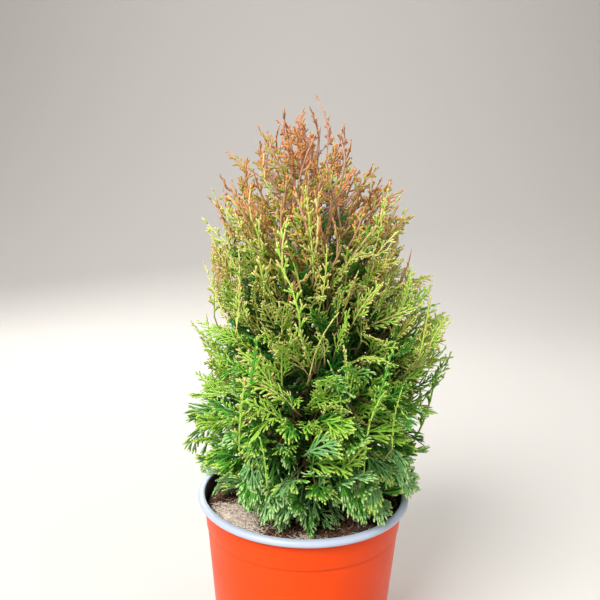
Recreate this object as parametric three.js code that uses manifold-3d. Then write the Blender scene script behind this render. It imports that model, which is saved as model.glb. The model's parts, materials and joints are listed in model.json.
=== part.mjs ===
// A young conical thuja in a tapered plastic pot with a rolled rim.
// Units are millimetres, +Z is up, and the origin is the centre of the pot's flat underside.
import * as THREE from "three";
import { mergeVertices } from "three/addons/utils/BufferGeometryUtils.js";
import Module from "manifold-3d";

const wasm = await Module();
wasm.setup();

// The pot: a thin tapered wall with a step under its upper band, and a rolled lip.
const potHeight = 150;
const rimRadius = 95;
const rimInnerRadius = 88.6;
const rimDepth = 5.4;
const wallTopRadius = 89.6;
const wallFootRadius = 75;
const wallThickness = 1.2;
const bandHeight = 25.5;
const bandStep = 0.9;
const floorThickness = 4.4;
const footRecess = 3;
const footRingInnerRadius = 58;
const centrePadRadius = 22;
const drainHoles = 6;
const drainHoleRadius = 5;
const roundSegments = 32;

// The soil, which has sunk below the rim.
const soilTop = 141;
const soilEdgeDrop = 4;
const soilLump = 1.6;
const seatGap = 0.3;

// The trunk, from its flat foot on the soil to the base of the leader.
const trunkFoot = soilTop + seatGap;
const trunkTop = 424;
const trunkRadius = 6.4;
const trunkTipRadius = 1.9;
const rootFlare = 3.2;
const rootFlareLength = 6;
const crownTop = 497;
const crownLean = 9.5;

// The crown's outline: how far it reaches to the left and to the right of the pot's axis at each height.
const crownProfile = [
  { z: 142, left: 70, right: 78 },
  { z: 160, left: 88, right: 100 },
  { z: 190, left: 101, right: 109 },
  { z: 235, left: 107, right: 112 },
  { z: 262, left: 106, right: 121 },
  { z: 290, left: 99, right: 127 },
  { z: 318, left: 92, right: 118 },
  { z: 345, left: 85, right: 99 },
  { z: 370, left: 82, right: 90 },
  { z: 398, left: 87, right: 93 },
  { z: 420, left: 82, right: 82 },
  { z: 442, left: 68, right: 60 },
  { z: 462, left: 47, right: 43 },
  { z: 480, left: 28, right: 31 },
  { z: crownTop, left: 2, right: 20 },
];
const lobeDepth = 0.03;

// How many millimetres the foliage rises for each one outward: it hangs at the soil and sweeps up towards the
// top.
const lowestSlope = -0.3;
const steepestSlope = 1.05;
const levelHeight = 190;
const steepHeight = 370;

// Rings of foliage from the soil to the leader. "middle" and "top" are heights, and "from" is where the limbs
// leave the trunk. "bough" and "stem" are how far out their tips lie, and "core" how far the dense inside
// reaches, as shares of the crown's reach. "column" is the room that a core leaves round the trunk.
const tiers = [
  { name: "skirt", middle: 164, top: 190, turn: 20, from: 178, stem: 0.5, core: 0.72, column: 3 },
  { name: "lower", middle: 208, top: 245, turn: 56, from: 190, stem: 0.5, core: 0.73, column: 3 },
  { name: "belly", middle: 258, top: 312, turn: 4, from: 218, stem: 0.5, core: 0.73, column: 5 },
  { name: "shoulder", middle: 310, top: 374, turn: 56, from: 256, bough: 0.2, stem: 0.45, core: 0.67,
    column: 8 },
  { name: "upper", middle: 362, top: 432, turn: 20, from: 300, bough: 0.25, stem: 0.5, core: 0.6,
    column: 10 },
  { name: "crest", middle: 420, top: 486, turn: 45, from: 354, bough: 0.28, stem: 0.6 },
  { name: "leader", middle: 458, top: crownTop, turn: 0, from: trunkTop, stem: 0 },
];
const massCounts = { skirt: 5, lower: 5, belly: 5, shoulder: 5, upper: 5, crest: 4, leader: 1 };

// The sprays of each ring: how many a mass has, their length, their width as a share of it, their growth
// angle above the horizontal and the most that they turn about their own axis, in degrees.
const sprayRules = {
  skirt: { count: 6, length: 46, width: 0.62, rise: -38, roll: 45 },
  lower: { count: 6, length: 48, width: 0.6, rise: 20, roll: 55 },
  belly: { count: 6, length: 52, width: 0.58, rise: 46, roll: 60 },
  shoulder: { count: 6, length: 54, width: 0.54, rise: 56, roll: 65 },
  upper: { count: 6, length: 54, width: 0.48, rise: 56, roll: 75 },
  crest: { count: 7, length: 42, width: 0.42, rise: 66, roll: 90 },
  leader: { count: 8, length: 32, width: 0.4, rise: 76, roll: 90 },
};
const siteShare = 0.52;
const siteStagger = 9;
const spaceMargin = 0.9;
const turnSpread = 0.06;

// How the sprays are spread: how far below a mass's middle their tips start, how deep in the crown's outline
// they may end, and how much their length, angle and heading vary. They stand closer after each run of failed
// attempts.
const tipBelow = 24;
const tipDepth = 0.2;
const tipCrowding = 1.7;
const longestReach = 1.03;
const sideOverlap = 0.15;
const shortestShare = 0.85;
const longestShare = 1.12;
const riseSpread = 14;
const headingSpread = 0.35;
const furthestTries = 400;
const sprayAttempts = 4000;
const attemptsPerSpacing = 120;
const closerSpacing = 0.93;

// A spray of scale leaves is one thin blade with five fingers. Shares are of its length and of half its
// width.
const sprayThickness = 2.2;
const stalkedThickness = 1.2;
const stalkWidth = 2.4;
const longestStalk = 34;
const shortestSpray = 16;
const rootDepth = 7;
const spraySpacing = 22;
const fingers = [
  [0.54, 1],
  [0.4, 0.3],
  [0.83, 0.7],
  [0.68, 0.15],
];
const thickestAt = 0.15;
const stalkSteps = 16;
const stalkedStemShare = 0.96;
const stalkBendCost = 1.6;

// The woody parts and the dense cores.
const limbClearance = 0.35;
const stemRadius = 2;
const stemTipRadius = 1.1;
const boughShare = 0.78;
const boughTaper = 0.75;
const boughStagger = 7;
const boughSag = 5;
const boughTipBelow = 22;
const stemOnward = 12;
const openStemRise = 12;
const leaderStemBelow = 10;
const trunkSides = 10;
const trunkRows = 12;
const trunkRowCrowding = 1.35;
const trunkTaperPower = 0.85;
const boughSides = 5;
const boughRows = 3;
const stemSides = 4;
const cloakedStemRows = 2;
const openStemRows = 4;
const coreDetail = 1;
const coreRoughness = 0.18;
const coreStart = 2;

const seed = 7041;

const materials = {
  pot: new THREE.MeshStandardMaterial({ color: 0xe8491c, roughness: 0.45, metalness: 0 }),
  rim: new THREE.MeshStandardMaterial({ color: 0xbfc6e2, roughness: 0.5, metalness: 0 }),
  soil: new THREE.MeshStandardMaterial({ color: 0x4a3526, roughness: 1, metalness: 0 }),
  bark: new THREE.MeshStandardMaterial({ color: 0x7d5a4e, roughness: 0.9, metalness: 0 }),
  skirt: new THREE.MeshStandardMaterial({ color: 0x3f6b4a, roughness: 0.7, metalness: 0 }),
  lower: new THREE.MeshStandardMaterial({ color: 0x4b8034, roughness: 0.7, metalness: 0 }),
  belly: new THREE.MeshStandardMaterial({ color: 0x5f9a35, roughness: 0.7, metalness: 0 }),
  shoulder: new THREE.MeshStandardMaterial({ color: 0x83a241, roughness: 0.7, metalness: 0 }),
  upper: new THREE.MeshStandardMaterial({ color: 0x9a8440, roughness: 0.75, metalness: 0 }),
  crest: new THREE.MeshStandardMaterial({ color: 0xb07a42, roughness: 0.75, metalness: 0 }),
  leader: new THREE.MeshStandardMaterial({ color: 0xb9774a, roughness: 0.75, metalness: 0 }),
};

const up = new THREE.Vector3(0, 0, 1);

// A seeded random number from 0 to 1.
let state = seed;
function random() {
  state = (state + 0x6d2b79f5) >>> 0;
  let t = state;
  t = Math.imul(t ^ (t >>> 15), t | 1);
  t ^= t + Math.imul(t ^ (t >>> 7), t | 61);
  return ((t ^ (t >>> 14)) >>> 0) / 4294967296;
}

function spread(amount) {
  return (random() * 2 - 1) * amount;
}

function mix(a, b, share) {
  return a + (b - a) * share;
}

function clamp(value, low, high) {
  return Math.min(Math.max(value, low), high);
}

function radians(degrees) {
  return (degrees * Math.PI) / 180;
}

// A closed three.js geometry as a manifold-3d solid.
function solidOf(geometry) {
  const bare = new THREE.BufferGeometry();
  bare.setAttribute("position", geometry.getAttribute("position"));
  bare.setIndex(geometry.index);
  const merged = mergeVertices(bare, 1e-4);
  return new wasm.Manifold(
    new wasm.Mesh({
      numProp: 3,
      vertProperties: new Float32Array(merged.attributes.position.array),
      triVerts: new Uint32Array(merged.index.array),
    }),
  );
}

// A manifold-3d solid as a three.js geometry.
function geometryOf(solid) {
  const mesh = solid.getMesh();
  const geometry = new THREE.BufferGeometry();
  geometry.setAttribute("position", new THREE.BufferAttribute(mesh.vertProperties, 3));
  geometry.setIndex(new THREE.BufferAttribute(mesh.triVerts, 1));
  geometry.computeVertexNormals();
  return geometry;
}

function addNode(group, name, solid, material) {
  const mesh = new THREE.Mesh(geometryOf(solid), material);
  mesh.name = name;
  group.add(mesh);
}

// A profile of [radius, height] pairs turned about the Z axis.
function turned(profile) {
  const points = profile.map(([r, z]) => new THREE.Vector2(r, z));
  return new THREE.LatheGeometry(points, roundSegments).rotateX(Math.PI / 2);
}

// A limb that tapers along a curve: a cylinder bent on to it. Its sections keep one side level, so it has no
// twist.
function limb(curve, startRadius, endRadius, sides, steps) {
  const geometry = new THREE.CylinderGeometry(1, 1, 1, sides, steps);
  const place = geometry.getAttribute("position");
  const span = curve.getPointAt(1).sub(curve.getPointAt(0));
  const level = new THREE.Vector3(-span.y, span.x, 0).normalize();
  for (let i = 0; i < place.count; i++) {
    const share = place.getY(i) + 0.5;
    const along = curve.getTangentAt(share);
    const other = new THREE.Vector3().crossVectors(level, along).normalize();
    const side = new THREE.Vector3().crossVectors(along, other);
    const radius = mix(startRadius, endRadius, share);
    const point = curve
      .getPointAt(share)
      .addScaledVector(side, place.getX(i) * radius)
      .addScaledVector(other, place.getZ(i) * radius);
    place.setXYZ(i, point.x, point.y, point.z);
  }
  return solidOf(geometry);
}

// The trunk's centre line: upright low down, leaning a little towards its tip.
function trunkAxis(z) {
  const share = (z - trunkFoot) / (crownTop - trunkFoot);
  return new THREE.Vector3(crownLean * share ** 3, 1.5 * Math.sin(share * 5), z);
}

function trunkRadiusAt(z) {
  const share = (z - trunkFoot) / (trunkTop - trunkFoot);
  const flare = rootFlare * Math.exp(-(z - trunkFoot) / rootFlareLength);
  return mix(trunkRadius, trunkTipRadius, share ** trunkTaperPower) + flare;
}

// The crown's round section at a height, between the rows of its outline that lie below and above.
function sectionAt(z) {
  const height = clamp(z, crownProfile[0].z, crownTop);
  const next = Math.max(1, crownProfile.findIndex((row) => row.z >= height));
  const below = crownProfile[next - 1];
  const above = crownProfile[next];
  const share = (height - below.z) / (above.z - below.z);
  const left = mix(below.left, above.left, share);
  const right = mix(below.right, above.right, share);
  return { middle: (right - left) / 2, radius: (right + left) / 2 };
}

// The crown's reach in one direction, with shallow lobes.
function reachAt(z, azimuth) {
  return sectionAt(z).radius * (1 + lobeDepth * Math.sin(3 * azimuth + z / 38));
}

// A point of the crown at a share of its reach in one direction.
function crownPoint(share, azimuth, z) {
  const reach = share * reachAt(z, azimuth);
  return new THREE.Vector3(sectionAt(z).middle + reach * Math.cos(azimuth), reach * Math.sin(azimuth), z);
}

// Where a point lies between the crown's middle, 0, and its outline, 1.
function reachShare(point) {
  const x = point.x - sectionAt(point.z).middle;
  return Math.hypot(x, point.y) / reachAt(point.z, Math.atan2(point.y, x));
}

// The height at which the foliage through a point left the crown's middle.
function rootedHeight(point) {
  const ramp = clamp((point.z - soilTop) / (steepHeight - soilTop), 0, 1);
  const level = (levelHeight - soilTop) / (steepHeight - soilTop);
  const hanging = mix(lowestSlope, 0, ramp / level);
  const rising = mix(0, steepestSlope, (ramp - level) / (1 - level));
  const slope = ramp < level ? hanging : rising;
  const axis = trunkAxis(point.z);
  return point.z - slope * Math.hypot(point.x - axis.x, point.y - axis.y);
}

function rooted(point) {
  return new THREE.Vector3(point.x, point.y, rootedHeight(point));
}

// The lowest that foliage may hang: over the soil inside the pot, and over the rim outside it.
function hangingLimit(point) {
  const fromAxis = Math.hypot(point.x, point.y);
  return fromAxis < rimInnerRadius - 4 ? soilTop + soilLump + 1 : potHeight + 1.5;
}

// How far a point lies from the trunk's surface.
function trunkGap(point) {
  const axis = trunkAxis(point.z);
  return Math.hypot(point.x - axis.x, point.y - axis.y) - trunkRadiusAt(point.z);
}

function makePotWall() {
  const wallTop = potHeight - rimDepth / 2;
  const bandFoot = wallTop - bandHeight;
  const bandRadius = mix(wallFootRadius, wallTopRadius, bandFoot / wallTop);
  const wall = solidOf(
    turned([
      [0, 0],
      [centrePadRadius, 0],
      [centrePadRadius + 2, footRecess],
      [footRingInnerRadius - 2, footRecess],
      [footRingInnerRadius, 0],
      [wallFootRadius - 1.5, 0],
      [wallFootRadius, 1.8],
      [bandRadius - bandStep, bandFoot - 2],
      [bandRadius, bandFoot],
      [wallTopRadius, wallTop],
      [wallTopRadius - wallThickness, wallTop],
      [wallFootRadius - wallThickness, floorThickness],
      [0, floorThickness],
    ]),
  );
  const drain = new THREE.CylinderGeometry(drainHoleRadius, drainHoleRadius, 20, 8).rotateX(Math.PI / 2);
  const ringRadius = (centrePadRadius + footRingInnerRadius) / 2;
  let drained = wall;
  for (let i = 0; i < drainHoles; i++) {
    const turn = (i / drainHoles) * 2 * Math.PI;
    const hole = drain.clone().translate(ringRadius * Math.cos(turn), ringRadius * Math.sin(turn), 0);
    drained = drained.subtract(solidOf(hole));
  }
  return drained;
}

// The rolled lip sits on the wall's top edge and curls down outside it.
function makePotRim() {
  const seat = potHeight - rimDepth / 2 + seatGap;
  return solidOf(
    turned([
      [rimInnerRadius, seat],
      [wallTopRadius + 1.6, seat],
      [wallTopRadius + 2.2, potHeight - rimDepth + 0.6],
      [rimRadius - 1.6, potHeight - rimDepth],
      [rimRadius - 0.4, potHeight - rimDepth + 1.1],
      [rimRadius, potHeight - rimDepth / 2],
      [rimRadius - 0.8, potHeight - 0.8],
      [rimRadius - 2.4, potHeight],
      [rimInnerRadius + 1, potHeight],
      [rimInnerRadius, potHeight - 0.9],
      [rimInnerRadius, seat],
    ]),
  );
}

function soilHeight(radius, azimuth) {
  const share = radius / wallTopRadius;
  const bump = Math.sin(3 * azimuth + 1) * Math.sin(share * Math.PI);
  return soilTop - soilEdgeDrop * share ** 2 + soilLump * Math.max(0, bump);
}

function makeSoil() {
  const wallTop = potHeight - rimDepth / 2;
  const wallSlope = (wallTopRadius - wallFootRadius) / (wallTop - floorThickness);
  const footRadius = wallFootRadius - wallThickness - seatGap;
  const edgeRadius = footRadius + wallSlope * (soilTop - soilEdgeDrop - floorThickness) - 0.2;
  const level = edgeRadius * 0.3;
  const geometry = turned([
    [0, floorThickness + seatGap],
    [footRadius, floorThickness + seatGap],
    [edgeRadius, soilTop - soilEdgeDrop],
    [edgeRadius * 0.78, soilTop],
    [edgeRadius * 0.5, soilTop],
    [level, soilTop],
    [0, soilTop],
  ]);
  const place = geometry.getAttribute("position");
  for (let i = 0; i < place.count; i++) {
    const radius = Math.hypot(place.getX(i), place.getY(i));
    if (place.getZ(i) < soilTop - 1 || radius <= level + 1) continue;
    place.setZ(i, soilHeight(radius, Math.atan2(place.getY(i), place.getX(i))));
  }
  return solidOf(geometry);
}

// The trunk, thicker by a clearance where it is used to keep the foliage off it.
function makeTrunk(clearance) {
  const geometry = new THREE.CylinderGeometry(1, 1, 1, trunkSides, trunkRows);
  const place = geometry.getAttribute("position");
  for (let i = 0; i < place.count; i++) {
    const z = mix(trunkFoot, trunkTop, (place.getY(i) + 0.5) ** trunkRowCrowding);
    const axis = trunkAxis(z);
    const radius = trunkRadiusAt(z) + clearance;
    place.setXYZ(i, axis.x + place.getZ(i) * radius, axis.y + place.getX(i) * radius, z);
  }
  return solidOf(geometry);
}

// The masses of foliage. Each has a site, and its space is what lies nearer to that site than to any other,
// measured with the foliage followed back to the crown's middle.
function planMasses() {
  const masses = [];
  for (const tier of tiers) {
    const count = massCounts[tier.name];
    const alone = count === 1;
    for (let i = 0; i < count; i++) {
      const azimuth = radians(tier.turn) + ((i + spread(turnSpread)) / count) * 2 * Math.PI;
      const step = alone ? 0 : ((i * 2) % count) / (count - 1) - 0.5;
      const middle = tier.middle + siteStagger * step;
      const centre = crownPoint(alone ? 0 : siteShare, azimuth, middle);
      const name = alone ? `foliage_${tier.name}` : `foliage_${tier.name}_${i + 1}`;
      const place = { azimuth, middle, centre, site: rooted(centre) };
      masses.push({ name, tier, count, number: i + 1, ...place, sprays: [] });
    }
  }
  for (const mass of masses) {
    mass.walls = masses
      .filter((other) => other !== mass)
      .map((other) => {
        const normal = new THREE.Vector3().subVectors(other.site, mass.site).normalize();
        const halfway = new THREE.Vector3().addVectors(other.site, mass.site).multiplyScalar(0.5);
        return { normal, limit: halfway.dot(normal) - spaceMargin };
      });
  }
  return masses;
}

function insideSpace(mass, point) {
  if (point.z < hangingLimit(point)) return false;
  const at = rooted(point);
  return mass.walls.every(({ normal, limit }) => at.dot(normal) <= limit);
}

function boughCurve(mass) {
  const { tier, count, azimuth, number, middle } = mass;
  const start = trunkAxis(tier.from + boughStagger * ((number * 2) % count));
  const end = crownPoint(tier.bough, azimuth, middle - boughTipBelow);
  const bend = start.clone().lerp(end, 0.5);
  bend.z -= boughSag;
  return new THREE.QuadraticBezierCurve3(start, bend, end);
}

// The stem goes on from the bough's tip, or leaves the trunk, and curves up into the mass.
function stemCurve(mass) {
  const { tier, count, azimuth, middle, bough } = mass;
  if (count === 1) {
    return new THREE.LineCurve3(trunkAxis(trunkTop + seatGap), trunkAxis(crownTop - leaderStemBelow));
  }
  const end = crownPoint(tier.stem, azimuth, middle + (tier.core ? 0 : openStemRise));
  if (bough) {
    const onward = bough.getTangentAt(1);
    const start = bough.getPointAt(1).addScaledVector(onward, seatGap);
    return new THREE.QuadraticBezierCurve3(start, start.clone().addScaledVector(onward, stemOnward), end);
  }
  const start = trunkAxis(tier.from);
  const bend = start.clone().lerp(end, 0.5);
  bend.z += boughSag;
  return new THREE.QuadraticBezierCurve3(start, bend, end);
}

function makeBough(mass, clearance) {
  const { bough, thick } = mass;
  return limb(bough, thick + clearance, thick * boughTaper + clearance, boughSides, boughRows);
}

function makeStem(mass, clearance) {
  const { stem, bough, thick, tier } = mass;
  const foot = bough ? thick * boughTaper : thick;
  const rows = tier.core ? cloakedStemRows : openStemRows;
  return limb(stem, foot + clearance, stemTipRadius + clearance, stemSides, rows);
}

function largestBody(solid) {
  return solid.decompose().sort((a, b) => b.volume() - a.volume())[0];
}

// The dense inside of a mass. Each corner of a faceted ball is pushed out until it would leave the mass's
// space.
function makeCore(mass, obstacles) {
  const ball = new THREE.IcosahedronGeometry(1, coreDetail);
  const bare = new THREE.BufferGeometry().setAttribute("position", ball.getAttribute("position"));
  const merged = mergeVertices(bare);
  const place = merged.getAttribute("position");
  for (let i = 0; i < place.count; i++) {
    const way = new THREE.Vector3(place.getX(i), place.getY(i), place.getZ(i));
    const fits = (distance) => {
      const probe = mass.centre.clone().addScaledVector(way, distance);
      if (reachShare(probe) > mass.tier.core || trunkGap(probe) <= mass.tier.column) return false;
      return insideSpace(mass, probe);
    };
    let length = coreStart;
    while (fits(length + 1)) length += 1;
    const point = mass.centre.clone().addScaledVector(way, length * (1 - coreRoughness * random()));
    place.setXYZ(i, point.x, point.y, point.z);
  }
  return obstacles.reduce((core, obstacle) => core.subtract(obstacle), solidOf(merged));
}

// The outline of a spray growing along +X, from one side of its root round its fingers to the other side.
function sprayOutline(stalk, length, half) {
  const near = fingers.map(([x, y]) => [x * length, -y * half]);
  near.unshift([0, -stalkWidth / 2]);
  if (stalk > 0) near.unshift([-stalk, -stalkWidth / 2]);
  const far = near.map(([x, y]) => [x, -y]).reverse();
  return [...near, [length, 0], ...far];
}

// A blade with no stalk is a flattened ball: its rim takes the outline and its poles make it thick near the
// root.
function bladeGeometry(length, half) {
  const outline = sprayOutline(0, length, half);
  const geometry = new THREE.SphereGeometry(1, outline.length, 2);
  const place = geometry.getAttribute("position");
  for (let i = 0; i < place.count; i++) {
    const row = Math.floor(i / (outline.length + 1));
    const [x, y] = outline[(i % (outline.length + 1)) % outline.length];
    if (row === 1) place.setXYZ(i, x, y, 0);
    else place.setXYZ(i, length * thickestAt, 0, ((1 - row) * sprayThickness) / 2);
  }
  return geometry;
}

function stalkedGeometry(stalk, length, half) {
  const corners = sprayOutline(stalk, length, half).map(([x, y]) => new THREE.Vector2(x, y));
  const shape = new THREE.Shape(corners);
  const flat = { depth: stalkedThickness, bevelEnabled: false, steps: 1 };
  return new THREE.ExtrudeGeometry(shape, flat).translate(0, 0, -stalkedThickness / 2);
}

// The frame of a blade that grows from its base along a direction and is rolled about it.
function bladeFrame(base, direction, roll) {
  const level = new THREE.Vector3().crossVectors(up, direction).normalize();
  const lifted = new THREE.Vector3().crossVectors(direction, level);
  const side = level.multiplyScalar(Math.cos(roll)).addScaledVector(lifted, Math.sin(roll));
  const normal = new THREE.Vector3().crossVectors(direction, side);
  return new THREE.Matrix4().makeBasis(direction, side, normal).setPosition(base);
}

// The place on the stem from which a stalk reaches a blade's base, leaving the stem at the sharpest angle.
function stalkFoot(stem, base, direction) {
  let best = null;
  for (let i = 1; i <= stalkSteps; i++) {
    const foot = stem.getPointAt((i / stalkSteps) * stalkedStemShare);
    const reach = new THREE.Vector3().subVectors(base, foot);
    const length = reach.length();
    const cost = length * (stalkBendCost - reach.normalize().dot(direction));
    if (length < longestStalk && (!best || cost < best.cost)) best = { cost, foot };
  }
  return best && best.foot;
}

function growthWay(rule, azimuth) {
  const rise = radians(rule.rise + spread(riseSpread));
  const heading = azimuth + spread(headingSpread);
  const outward = new THREE.Vector3(Math.cos(heading), Math.sin(heading), 0);
  return outward.multiplyScalar(Math.cos(rise)).addScaledVector(up, Math.sin(rise));
}

// A spray that ends at its tip, rooted just inside the core, or by its stalk on the stem.
function rootSpray(mass, tip, direction) {
  const full = sprayRules[mass.tier.name].length * mix(shortestShare, longestShare, random());
  if (mass.core) {
    const ray = new THREE.Raycaster(tip, direction.clone().negate(), shortestSpray, full - rootDepth);
    const hit = ray.intersectObject(mass.core)[0];
    return hit ? { direction, length: hit.distance + rootDepth, stalk: 0 } : null;
  }
  const foot = stalkFoot(mass.stem, tip.clone().addScaledVector(direction, -full), direction);
  if (!foot) return null;
  const way = new THREE.Vector3().subVectors(tip, foot);
  const reach = way.length();
  const length = Math.min(full, reach - 1);
  return { direction: way.normalize(), length, stalk: reach - length };
}

// One candidate spray in a mass, or nothing if it would leave the mass's space.
function trySpray(mass) {
  const { tier, count } = mass;
  const rule = sprayRules[tier.name];
  const z = mix(tier.middle - tipBelow, tier.top, random());
  const azimuth = mass.azimuth + spread(Math.PI / count + sideOverlap);
  const tip = crownPoint(1 - tipDepth * random() ** tipCrowding, azimuth, z);
  const roots = insideSpace(mass, tip) && rootSpray(mass, tip, growthWay(rule, azimuth));
  if (!roots) return null;
  const { direction, length, stalk } = roots;
  const base = tip.clone().addScaledVector(direction, -length);
  const frame = bladeFrame(base, direction, radians(spread(rule.roll)));
  const half = (length * rule.width) / 2;
  const blade = bladeGeometry(length, half).applyMatrix4(frame);
  const geometry = stalk > 0 ? stalkedGeometry(stalk, length, half).applyMatrix4(frame) : blade;
  const place = geometry.getAttribute("position");
  for (let i = 0; i < place.count; i++) {
    const corner = new THREE.Vector3().fromBufferAttribute(place, i);
    if (!insideSpace(mass, corner) || reachShare(corner) > longestReach) return null;
  }
  const centre = tip.clone().addScaledVector(direction, -length / 2);
  const reach = tier.core ? Math.hypot(tip.x, tip.y) : tip.z;
  return { solid: solidOf(geometry), blade: solidOf(blade), centre, reach };
}

function clearOf(solid, obstacles) {
  return obstacles.every((obstacle) => solid.intersect(obstacle).isEmpty());
}

// The mass: its stem, core and sprays, joined into one solid. The first spray is the one of many that reaches
// furthest: out in a dense mass, and up in an open one. More are tried until they are enough, ever closer.
function makeMass(mass, obstacles) {
  const { tier, sprays } = mass;
  const wood = makeStem(mass, 0).subtract(obstacles[0]);
  const parts = [wood];
  if (tier.core) {
    const core = makeCore(mass, obstacles);
    mass.core = new THREE.Mesh(geometryOf(core), new THREE.MeshBasicMaterial({ side: THREE.DoubleSide }));
    parts.push(core);
  }
  const tried = Array.from({ length: furthestTries }, () => trySpray(mass)).filter(Boolean);
  const furthest = tried.sort((a, b) => b.reach - a.reach).find((spray) => clearOf(spray.solid, obstacles));
  if (furthest) sprays.push(furthest);
  let spacing = spraySpacing;
  const wanted = sprayRules[tier.name].count;
  for (let attempt = 1; sprays.length < wanted && attempt < sprayAttempts; attempt++) {
    if (attempt % attemptsPerSpacing === 0) spacing *= closerSpacing;
    const spray = trySpray(mass);
    if (!spray || sprays.some((other) => other.centre.distanceTo(spray.centre) < spacing)) continue;
    const crosses = sprays.some((other) => !spray.blade.intersect(other.blade).isEmpty());
    if (!crosses && clearOf(spray.solid, obstacles)) sprays.push(spray);
  }
  return largestBody(wasm.Manifold.union([...parts, ...sprays.map((spray) => spray.solid)]));
}

function build() {
  const root = new THREE.Group();
  const pot = new THREE.Group();
  const wood = new THREE.Group();
  const foliage = new THREE.Group();
  root.add(pot, wood, foliage);

  const wall = makePotWall();
  const rim = makePotRim();
  const soil = makeSoil();
  addNode(pot, "pot_wall", wall, materials.pot);
  addNode(pot, "pot_rim", rim, materials.rim);
  addNode(pot, "soil", soil, materials.soil);
  addNode(wood, "trunk", makeTrunk(0), materials.bark);

  const thickTrunk = makeTrunk(limbClearance);
  const masses = planMasses();
  for (const mass of masses) {
    mass.thick = mass.count === 1 ? trunkTipRadius : stemRadius;
    if (mass.tier.bough) {
      mass.bough = boughCurve(mass);
      mass.thick = boughShare * trunkRadiusAt(mass.bough.getPointAt(0).z);
      mass.thickBough = makeBough(mass, limbClearance);
      const bough = largestBody(makeBough(mass, 0).subtract(thickTrunk));
      addNode(wood, `bough_${mass.tier.name}_${mass.number}`, bough, materials.bark);
    }
    mass.stem = stemCurve(mass);
    mass.thickStem = makeStem(mass, limbClearance);
  }
  const boughs = masses.filter((mass) => mass.bough).map((mass) => mass.thickBough);
  for (const mass of masses) {
    const stems = masses.filter((other) => other !== mass).map((other) => other.thickStem);
    const solid = makeMass(mass, [thickTrunk, wall, rim, soil, ...boughs, ...stems]);
    addNode(foliage, mass.name, solid, materials[mass.tier.name]);
  }
  return root;
}

export default build();
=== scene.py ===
import json
import math

import bpy
import numpy as np
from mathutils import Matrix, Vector

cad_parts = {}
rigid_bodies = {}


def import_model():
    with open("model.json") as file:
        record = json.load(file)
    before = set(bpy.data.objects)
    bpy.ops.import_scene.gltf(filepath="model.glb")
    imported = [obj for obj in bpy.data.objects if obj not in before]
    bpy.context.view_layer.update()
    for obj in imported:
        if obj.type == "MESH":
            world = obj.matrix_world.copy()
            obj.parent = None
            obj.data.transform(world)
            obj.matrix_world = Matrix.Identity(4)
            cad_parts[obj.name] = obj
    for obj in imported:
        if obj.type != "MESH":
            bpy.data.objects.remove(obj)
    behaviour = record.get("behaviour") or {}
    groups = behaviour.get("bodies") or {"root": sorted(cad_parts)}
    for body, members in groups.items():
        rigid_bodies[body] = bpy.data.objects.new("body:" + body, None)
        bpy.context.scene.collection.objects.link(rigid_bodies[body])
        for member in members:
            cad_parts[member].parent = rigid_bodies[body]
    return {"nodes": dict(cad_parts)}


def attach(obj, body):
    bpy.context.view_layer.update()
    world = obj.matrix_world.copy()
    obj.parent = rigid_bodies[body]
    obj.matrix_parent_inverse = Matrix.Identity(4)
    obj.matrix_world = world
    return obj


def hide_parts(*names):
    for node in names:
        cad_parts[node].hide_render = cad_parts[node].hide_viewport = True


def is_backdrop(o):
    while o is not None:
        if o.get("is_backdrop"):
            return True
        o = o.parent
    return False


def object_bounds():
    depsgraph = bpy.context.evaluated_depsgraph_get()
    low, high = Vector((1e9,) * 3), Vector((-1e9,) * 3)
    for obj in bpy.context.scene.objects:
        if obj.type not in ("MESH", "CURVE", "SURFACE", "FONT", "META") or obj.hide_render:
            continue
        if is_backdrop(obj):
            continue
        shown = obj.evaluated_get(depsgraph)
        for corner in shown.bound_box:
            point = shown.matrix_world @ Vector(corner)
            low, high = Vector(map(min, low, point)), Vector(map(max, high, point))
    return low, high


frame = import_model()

bl_info = {
    "name": "Potted Thuja",
    "version": (1, 0, 0),
    "blender": (4, 5, 0),
    "location": "3D View > Sidebar > Thuja",
    "description": "Models a young thuja with flat sprays of scale leaves in a plastic pot",
    "category": "Add Mesh",
}

CAD_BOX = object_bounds()
BODY = "root"
MM = 0.001

# The plant's rule, in millimetres, as the solids have it.
SOIL_TOP = 141.0
SOIL_LUMP = 1.6
POT_HEIGHT = 150.0
RIM_INNER_RADIUS = 88.6
TRUNK_FOOT = 141.3
TRUNK_TOP = 424.0
TRUNK_RADIUS = 6.4
TRUNK_TIP_RADIUS = 1.9
TRUNK_TAPER_POWER = 0.85
ROOT_FLARE = 3.2
ROOT_FLARE_LENGTH = 6.0
CROWN_TOP = 497.0
CROWN_LEAN = 9.5
LOBE_DEPTH = 0.03
LOWEST_SLOPE = -0.3
STEEPEST_SLOPE = 1.05
LEVEL_HEIGHT = 190.0
STEEP_HEIGHT = 370.0
SITE_SHARE = 0.52
SITE_STAGGER = 9.0
SPACE_MARGIN = 0.9
TURN_SPREAD = 0.06
STEM_RADIUS = 2.0
STEM_TIP_RADIUS = 1.1
BOUGH_SHARE = 0.78
BOUGH_TAPER = 0.75
BOUGH_STAGGER = 7.0
BOUGH_SAG = 5.0
BOUGH_TIP_BELOW = 22.0
STEM_ONWARD = 12.0
OPEN_STEM_RISE = 12.0
LEADER_STEM_BELOW = 28.0
OPEN_STEM_BELOW_TOP = 32.0
SEAT_GAP = 0.3
STEM_STEPS = 12

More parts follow.
